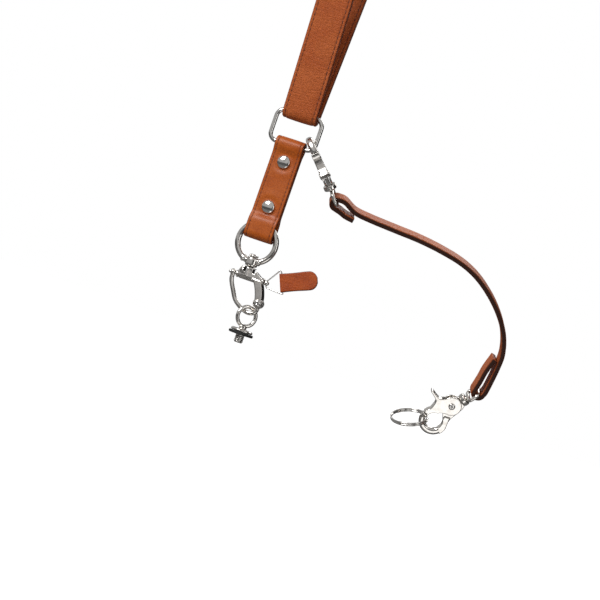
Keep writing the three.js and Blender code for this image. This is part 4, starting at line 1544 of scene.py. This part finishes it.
def rivet(diameter: float, head: float, height: float, grip: float, matrix: Matrix) -> Mesh:
    """Makes a rivet along the local Z axis, with a domed and dimpled head on each side.

    Args:
        diameter: The shank's diameter.
        head: The diameter of its heads.
        height: Their height.
        grip: The thickness that it holds.
        matrix: The local frame.

    Returns:
        A new closed bmesh.
    """
    seat = grip / 2 + 0.12
    shank, rim = diameter / 2, head / 2
    dome = ((1.0, 0.25), (0.9, 0.62), (0.62, 0.92), (0.36, 1.0), (0.24, 0.7), (0.0, 0.6))
    half = [(shank, seat), (rim - 0.1, seat)]
    half += [(rim * width, seat + height * level) for width, level in dome]
    rows = [(r, -z) for r, z in reversed(half)] + half
    return turned(rows, matrix, 36)


@dataclass
class Snap:
    """A trigger snap on its swivel eye, in the frame of its own joints."""

    prefix: str
    hook_body: Body
    lever_body: Body
    strap_axis: Vector
    gap: float = 0.3
    outer: float = 10.3
    inner: float = 6.1
    shift: float = 0.6
    thickness: float = 4.8
    tongue: float = 2.4
    rivet_x: float = -1.4
    rivet_z: float = 16.4
    hub: float = 7.0
    cheek: float = 1.3
    mouth: float = 190.0
    throat: float = 372.0
    collar: float = 9.0
    collar_base: float = 24.3
    collar_height: float = 3.4
    post: float = 3.2
    post_head: float = 5.8
    eye_wire: float = 2.6
    eye_length: float = 5.6
    tether_width: float = 12.0
    horn_reach: float = 17.4
    horn_thickness: float = 2.6
    throat_edge: float = 62.0
    spine_edge: float = 382.0
    lever_shoulder: float = 158.0
    lever_root: float = 122.0
    rivet_diameter: float = 2.6
    rivet_head: float = 4.8
    rivet_head_height: float = 0.8

    def __post_init__(self) -> None:
        """Takes the snap's place from its joints."""
        axis = joint_axis(f"{self.prefix}_snap_swivel")
        flat = joint_axis(f"{self.prefix}_lever_hinge")
        self.origin = joint_point(f"{self.prefix}_snap_swivel")
        self.place = frame_of(self.origin, flat.cross(axis), flat, axis)
        self.eye_place = frame_of(self.origin, self.strap_axis.cross(axis), self.strap_axis, axis)
        self.hole = (self.shift, 0.0)
        self.round = (self.shift + 0.5, -0.8)
        self.pivot = (self.rivet_x, self.rivet_z)
        self.swing = self.hub + 2.2
        self.loop_foot = self.collar_base + self.collar_height + self.gap + self.eye_wire / 2
        self.bar = self.loop_foot + self.eye_length + self.eye_wire

    def across(self, point: Point) -> Matrix:
        """Gives the snap's own frame at a flat point, with its Z axis along the rivet."""
        return frame_of(Vector((point[0], 0, point[1])), UP, ACROSS, DEPTH)

    def arm(self) -> Mesh:
        """Sweeps the hook's round arm from its mouth to its throat."""
        width = self.outer - self.inner
        path, scale = [], []
        steps = 60
        for i in range(steps + 1):
            angle = self.mouth + 1.0 + (self.throat - self.mouth) * i / steps
            far = on_circle(self.round, self.outer, angle)
            near = on_circle(self.hole, self.inner, angle)
            path.append(Vector(((far[0] + near[0]) / 2, 0, (far[1] + near[1]) / 2)))
            scale.append((1.0, math.dist(far, near) / width))
        outline = rounded_box(self.thickness, width, 1.9, 15)
        return sweep(path, DEPTH, [SectionPoint(x, z) for x, z in outline], scale=scale)

    def hook(self, finishes: Finishes) -> None:
        """Makes the hook, its tongue and its collar as one casting."""
        ring = arc(self.round, self.outer, 350, self.spine_edge, 4)
        ring += arc(self.pivot, self.swing, -42, -66, 4)
        ring += arc(self.hole, self.inner, self.throat_edge, -10, 4)
        spine = self.round[0] + self.outer
        tongue = [
            on_circle(self.hole, self.inner, self.throat_edge),
            (spine * 0.82, 1),
            (spine * 0.72, self.rivet_z * 0.4),
            (spine * 0.6, self.rivet_z * 0.6),
            (self.collar * 0.6, self.collar_base * 0.86),
            (self.collar * 0.4, self.collar_base + 0.5),
            (-self.collar * 0.4, self.collar_base + 0.5),
            (self.rivet_x - self.hub * 0.72, self.rivet_z + 1),
            on_circle(self.pivot, self.hub * 0.9, 235),
        ]
        rim, base, top = self.collar / 2, self.collar_base, self.collar_base + self.collar_height
        rows = [
            (0, base - 0.9), (rim - 1.3, base - 0.8), (rim - 0.3, base), (rim, base + 0.5),
            (rim, top - 0.7), (rim - 0.3, top - 0.3), (rim - 0.9, top), (0, top),
        ]
        cavity = self.post_head / 2 + self.gap
        cutters = [
            rod(2 * cavity, base + 0.8, top - 0.8, Matrix()),
            rod(self.post + 2 * self.gap, top - 1.2, top + 2, Matrix()),
            rod(self.rivet_diameter + 2 * self.gap, -6, 6, self.across(self.pivot)),
        ]
        parts = [
            self.arm(),
            plate(ring, self.thickness, Matrix(), 0.9, 4),
            plate(tongue, self.tongue, Matrix(), 0.3, 2),
            turned(rows, Matrix()),
        ]
        casting = moved_by(cast(parts, cutters, voxel=0.18, rounds=4), self.place)
        finished(
            f"{self.prefix}_hook_casting", casting, finishes.cast, self.hook_body,
            [f"{self.prefix}_snap_hook"],
        )

    def lever(self, finishes: Finishes) -> None:
        """Makes the trigger lever as one casting."""
        nose = self.mouth - 4
        horn_x, horn_z = self.rivet_x - self.horn_reach, self.outer + 1.2
        thick = self.horn_thickness
        root = self.rivet_x - self.hub * 1.15
        outline = arc(self.round, self.outer, nose, self.lever_shoulder, 4)
        marks = [
            outline[-1],
            (root - 0.2, horn_z - thick * 1.3),
            (root - 1.8, horn_z - thick * 0.62),
            (root - 5, horn_z - thick * 0.3),
            (horn_x, horn_z - thick * 0.3),
            (horn_x - 1.2, horn_z + 0.1),
            (horn_x + 0.1, horn_z + thick * 0.35),
            (root - 4, horn_z + thick * 0.2),
            (root - 1.6, horn_z + thick * 0.5),
            (root - 0.3, horn_z + thick * 0.8),
            on_circle(self.pivot, self.hub, 180),
        ]
        for start, control, end in zip(marks[0::2], marks[1::2], marks[2::2]):
            outline += bezier(start, control, end, 6)[1:]
        outline.pop()
        outline += arc(self.pivot, self.hub, 180, -60, 5)
        crown = on_circle(self.pivot, self.hub + 0.9, -90)
        root_point = on_circle(self.hole, self.inner, self.lever_root)
        outline += bezier(outline[-1], crown, root_point, 8)[1:-1]
        outline += arc(self.hole, self.inner, self.lever_root, nose, 5)
        slot = self.tongue + 2 * self.gap
        width = slot + 2 * self.cheek
        pivot = self.across(self.pivot)
        cutters = [
            rod(2 * (self.hub + 1.6), -slot / 2, slot / 2, pivot, 60),
            rod(self.rivet_diameter + 2 * self.gap, -width, width, pivot),
        ]
        blank = plate(outline, width, Matrix(), bevel=0.45, segments=3)
        casting = moved_by(cast([blank], cutters, voxel=0.16, rounds=3), self.place)
        finished(
            f"{self.prefix}_lever_casting", casting, finishes.cast, self.lever_body,
            [f"{self.prefix}_snap_lever"],
        )
        sizes = (self.rivet_diameter, self.rivet_head, self.rivet_head_height)
        pin = moved_by(rivet(*sizes, width, pivot), self.place)
        finished(
            f"{self.prefix}_lever_rivet", pin, finishes.metal, self.hook_body,
            [f"{self.prefix}_snap_rivet"],
        )

    def eye(self, finishes: Finishes) -> None:
        """Makes the swivel eye as one casting."""
        width = self.tether_width + 2 * self.gap + self.eye_wire + 0.8
        middle = (self.loop_foot + self.bar) / 2
        outline = rounded_box(width, self.eye_length + self.eye_wire, 2.4, 10)
        path = [self.eye_place @ Vector((0, y, z + middle)) for y, z in outline]
        flat = self.eye_place.col[0].to_3d()
        loop = sweep(evenly(path, 0.5, True), flat, round_section(self.eye_wire, 20), closed=True)
        foot, top = self.collar_base + 1.1, self.collar_base + self.collar_height - 1.1
        head, shank = self.post_head / 2, self.post / 2
        rows = [
            (0, foot), (head, foot), (head, top), (shank, top), (shank, self.loop_foot),
            (0, self.loop_foot),
        ]
        casting = cast([loop, turned(rows, self.eye_place)], voxel=0.18, rounds=3)
        finished(
            f"{self.prefix}_eye_casting", casting, finishes.cast, Body.STRAP,
            [f"{self.prefix}_snap_eye"],
        )

    def build(self, finishes: Finishes) -> None:
        """Makes the whole snap."""
        self.hook(finishes)
        self.lever(finishes)
        self.eye(finishes)


@dataclass
class Tether:
    """The narrow strap between the two snaps."""

    upper: Snap
    lower: Snap
    width: float = 12.0
    thickness: float = 3.4
    fold_gap: float = 0.48
    gap: float = 0.3
    hook_seat: float = 3.1
    upper_tail: float = 15.0
    lower_tail: float = 27.0
    tail_spread: float = 1.8
    route: tuple[Point, ...] = (
        (42, -30.9), (55, -32.4), (72, -33.3), (90, -34.2), (107, -36.4), (122.5, -39.8),
        (136, -45.6), (149, -54.9), (160, -65.8), (168.2, -77.6), (173, -90.5), (173.8, -102),
    )

    def plane(self) -> Matrix:
        """Gives the frame of the tether's plane: X away from the ring, Y across the strap."""
        flat = self.upper.strap_axis
        away = Vector((flat.y, -flat.x, 0.0)).normalized()
        wire = self.upper.origin - self.upper.place.col[2].to_3d() * self.hook_seat
        return frame_of(wire, away, flat, away.cross(flat))

    def folded_end(
        self, bar: Vector, towards: Vector, side: int, tail_length: float
    ) -> tuple[list[Vector], Vector]:
        """Gives one end of the centre line, from the loose tail round the bar.

        Args:
            bar: The bar's centre.
            towards: The first point of the route.
            side: 1 where the strap leaves on the left of the line from bar to route, or -1.
            tail_length: The length of the tail.

        Returns:
            The points from tail to fold, and the first point of the strap after the fold.
        """
        radius = self.lower.eye_wire / 2 + self.fold_gap + self.thickness / 2
        lead = (towards - bar).normalized()
        across = Vector((-lead.z, 0, lead.x)) * side
        spread = self.thickness + self.gap + self.tail_spread
        marks = [(1.0, spread), (0.6, spread - 0.2), (0.3, radius + 0.7), (0.0, radius)]
        points = [bar + lead * tail_length * share - across * away for share, away in marks]
        tail = smooth_through(points, 8)[:-1]
        fold = []
        for i in range(25):
            angle = math.radians(i * 7.5)
            fold.append(bar - across * radius * math.cos(angle) - lead * radius * math.sin(angle))
        return tail + fold, bar + lead * radius * 1.4 + across * radius

    def path(self) -> list[Vector]:
        """Gives the whole centre line in the model's frame."""
        plane = self.plane()
        back = plane.inverted()
        snaps = (self.upper, self.lower)
        bars = [back @ (snap.eye_place @ Vector((0, 0, snap.bar))) for snap in snaps]
        for bar in bars:
            bar.y = 0.0
        route = [Vector((x, 0, z)) for x, z in self.route]
        first, first_leg = self.folded_end(bars[0], route[0], 1, self.upper_tail)
        last, last_leg = self.folded_end(bars[1], route[-1], -1, self.lower_tail)
        middle = smooth_through([first[-1], first_leg, *route, last_leg, last[-1]], 14)
        line = [*first, *middle[1:-1], *reversed(last)]
        return [plane @ point for point in line]

    def build(self, finishes: Finishes) -> None:
        """Makes the strap."""
        path = evenly(self.path(), 0.8)
        strap = sweep(path, self.upper.strap_axis, strap_section(self.width, self.thickness, 0.8))
        finished("tether_leather", strap, finishes.tether, Body.STRAP, ["tether"])


@dataclass
class SplitRing:
    """The split ring in the lower hook."""

    wire: float = 1.35
    turn_gap: float = 0.15
    outer: float = 27.0
    droop: float = 19.0
    lean: float = 34.7
    seat_angle: float = 215.0
    gap: float = 0.3

    def build(self, snap: Snap, finishes: Finishes) -> None:
        """Makes the two turns of wire and their overlapped ends."""
        radius = (self.outer - self.wire) / 2
        pitch = self.wire + self.turn_gap
        seat = on_circle(snap.hole, snap.inner - self.wire / 2 - self.gap - 0.6, self.seat_angle)
        angle = math.radians(180 + self.droop + self.lean)
        away = Vector((math.cos(angle), 0, math.sin(angle)))
        centre = Vector((seat[0], 0, seat[1])) + away * radius
        axis = away.cross(DEPTH)
        turns = []
        steps = 200
        for i in range(steps + 1):
            share = i / steps
            turn = share * 4 * math.pi
            slow = (share - 0.5) * 2 * pitch
            quick = max(-pitch / 2, min(pitch / 2, (share - 0.5) * pitch * 6))
            level = quick * 0.9 + slow * 0.1
            flat = away * math.cos(turn) + DEPTH * math.sin(turn)
            spot = centre + flat * radius
            turns.append(snap.place @ (spot + axis * level))
        coil_axis = snap.place.to_3x3() @ axis
        ring = sweep(turns, coil_axis, round_section(self.wire, 16))
        finished(
            "split_ring_wire", ring, finishes.metal, Body.LOWER_HOOK, ["split_ring"]
        )


@dataclass
class Studio:
    """Floor, light and camera."""

    camera_place: Vector = field(default_factory=lambda: Vector((0.3750, -1.2454, -0.6678)))
    azimuth: float = 15.0
    roll: float = 19.2
    frame_width: float = 0.402
    distance: float = 1.3
    floor_drop: float = 0.6
    bright_side: tuple[float, float, float] = (-0.62, -0.35, 0.7)

    def camera(self) -> None:
        """Sets the camera at the photograph's angle."""
        data = bpy.data.cameras.new("camera")
        data.sensor_width = 36.0
        data.lens = data.sensor_width * self.distance / self.frame_width
        data.clip_end = 50.0
        made = bpy.data.objects.new("camera", data)
        bpy.context.scene.collection.objects.link(made)
        turn, roll = math.radians(self.azimuth), math.radians(self.roll)
        level = Vector((math.cos(turn), math.sin(turn), 0.0))
        forward = Vector((-math.sin(turn), math.cos(turn), 0.0))
        right = level * math.cos(roll) + UP * math.sin(roll)
        made.matrix_world = frame_of(self.camera_place, right, right.cross(forward), -forward)
        bpy.context.scene.camera = made

    def lamp(self, name: str, place: Vector, target: Vector, size: Point, power: float) -> None:
        """Adds one soft box that faces a target."""
        data = bpy.data.lights.new(name, "AREA")
        data.shape = "RECTANGLE"
        data.size, data.size_y = size
        data.energy = power
        made = bpy.data.objects.new(name, data)
        turn = (target - place).to_track_quat("-Z", "Y").to_matrix().to_4x4()
        made.matrix_world = Matrix.Translation(place) @ turn
        bpy.context.scene.collection.objects.link(made)

    def light(self) -> None:
        """Adds the lamps and the room that the metal reflects."""
        middle = Vector((0.05, 0.0, -0.6))
        self.lamp("key_box", Vector((-0.7, -1.3, 0.4)), middle, (0.7, 0.9), 25.0)
        self.lamp("fill_box", Vector((1.5, -0.8, -0.3)), middle, (0.5, 1.2), 3.5)
        self.lamp("back_box", Vector((0.3, 1.4, 0.4)), middle, (1.2, 0.6), 7.0)
        glint = Vector((0.397, -0.379, -1.154))
        self.lamp("low_box", glint, Vector((0.134, 0.1, -0.716)), (0.35, 0.35), 0.5)
        world = bpy.data.worlds.new("room")
        bpy.context.scene.world = world
        world.use_nodes = True
        nodes = Nodes(world.node_tree)
        lean = nodes.add("VectorMath", operation="DOT_PRODUCT")
        nodes.link(nodes.add("TexCoord").outputs["Generated"], lean.inputs[0])
        lean.inputs[1].default_value = Vector(self.bright_side).normalized()
        height = nodes.add("MapRange")
        height.inputs["From Min"].default_value = -1.0
        nodes.link(lean.outputs["Value"], height.inputs["Value"])
        grey = (
            (0.0, 0.25), (0.22, 0.02), (0.38, 0.03), (0.44, 0.4), (0.49, 0.04), (0.53, 0.12),
            (0.57, 0.85), (0.7, 1.0), (1.0, 0.7),
        )
        room = nodes.ramp(height.outputs[0], [(p, (v, v, v)) for p, v in grey])
        reflected = nodes.add("Background")
        nodes.link(room.outputs["Color"], reflected.inputs["Color"])
        reflected.inputs["Strength"].default_value = 0.5
        seen = nodes.add("Background")
        seen.inputs["Color"].default_value = (1.0, 1.0, 1.0, 1.0)
        pick = nodes.add("MixShader")
        path = nodes.add("LightPath")
        nodes.link(path.outputs["Is Camera Ray"], pick.inputs[0])
        nodes.link(reflected.outputs[0], pick.inputs[1])
        nodes.link(seen.outputs[0], pick.inputs[2])
        output = nodes.add("OutputWorld")
        nodes.link(pick.outputs[0], output.inputs["Surface"])

    def floor(self) -> None:
        """Lays a wide pale floor below the hanging strap."""
        mesh = bmesh.new()
        low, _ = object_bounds()
        place = Matrix.Translation(Vector((0, 0, low[2] - self.floor_drop)))
        bmesh.ops.create_circle(mesh, cap_ends=True, radius=20.0, segments=64, matrix=place)
        made = loose_object("floor", mesh)
        material, nodes, shader = new_material("pale_floor", (0.9, 0.9, 0.9))
        cloud = nodes.add("TexNoise")
        cloud.inputs["Scale"].default_value = 0.7
        nodes.link(nodes.add("TexCoord").outputs["Object"], cloud.inputs["Vector"])
        pale = ((0.3, (0.9, 0.9, 0.9)), (0.7, (0.93, 0.93, 0.93)))
        color = nodes.ramp(cloud.outputs["Fac"], pale)
        shader.inputs["Roughness"].default_value = 0.9
        shader.inputs["Emission Color"].default_value = (1.0, 1.0, 1.0, 1.0)
        seen = nodes.add("LightPath").outputs["Is Camera Ray"]
        base = nodes.mix(seen, rgba((0.2, 0.2, 0.2)), color.outputs["Color"])
        nodes.link(base, shader.inputs["Base Color"])
        nodes.link(nodes.math("MULTIPLY", seen, 0.9), shader.inputs["Emission Strength"])
        made.data.materials.append(material)
        made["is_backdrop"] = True

    def build(self) -> None:
        """Sets up the whole studio."""
        bpy.context.scene.view_settings.view_transform = "Standard"
        self.camera()
        self.light()
        self.floor()


def main() -> None:
    """Builds every sub-assembly in order."""
    logging.basicConfig(level=logging.INFO, format="%(name)s %(message)s")
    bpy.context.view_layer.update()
    Studio().build()
    finishes = Finishes(Effects())
    NeckBand().build(finishes)
    RectRing().build(finishes)
    RingTab().build(finishes)
    Bail().build(finishes)
    Shackle().build(finishes)
    strap_axis = joint_axis("lower_lever_hinge")
    upper = Snap("upper", Body.UPPER_HOOK, Body.UPPER_LEVER, strap_axis)
    lower = Snap("lower", Body.LOWER_HOOK, Body.LOWER_LEVER, strap_axis)
    upper.build(finishes)
    lower.build(finishes)
    Tether(upper, lower).build(finishes)
    SplitRing().build(lower, finishes)


if __name__ == "__main__":
    main()
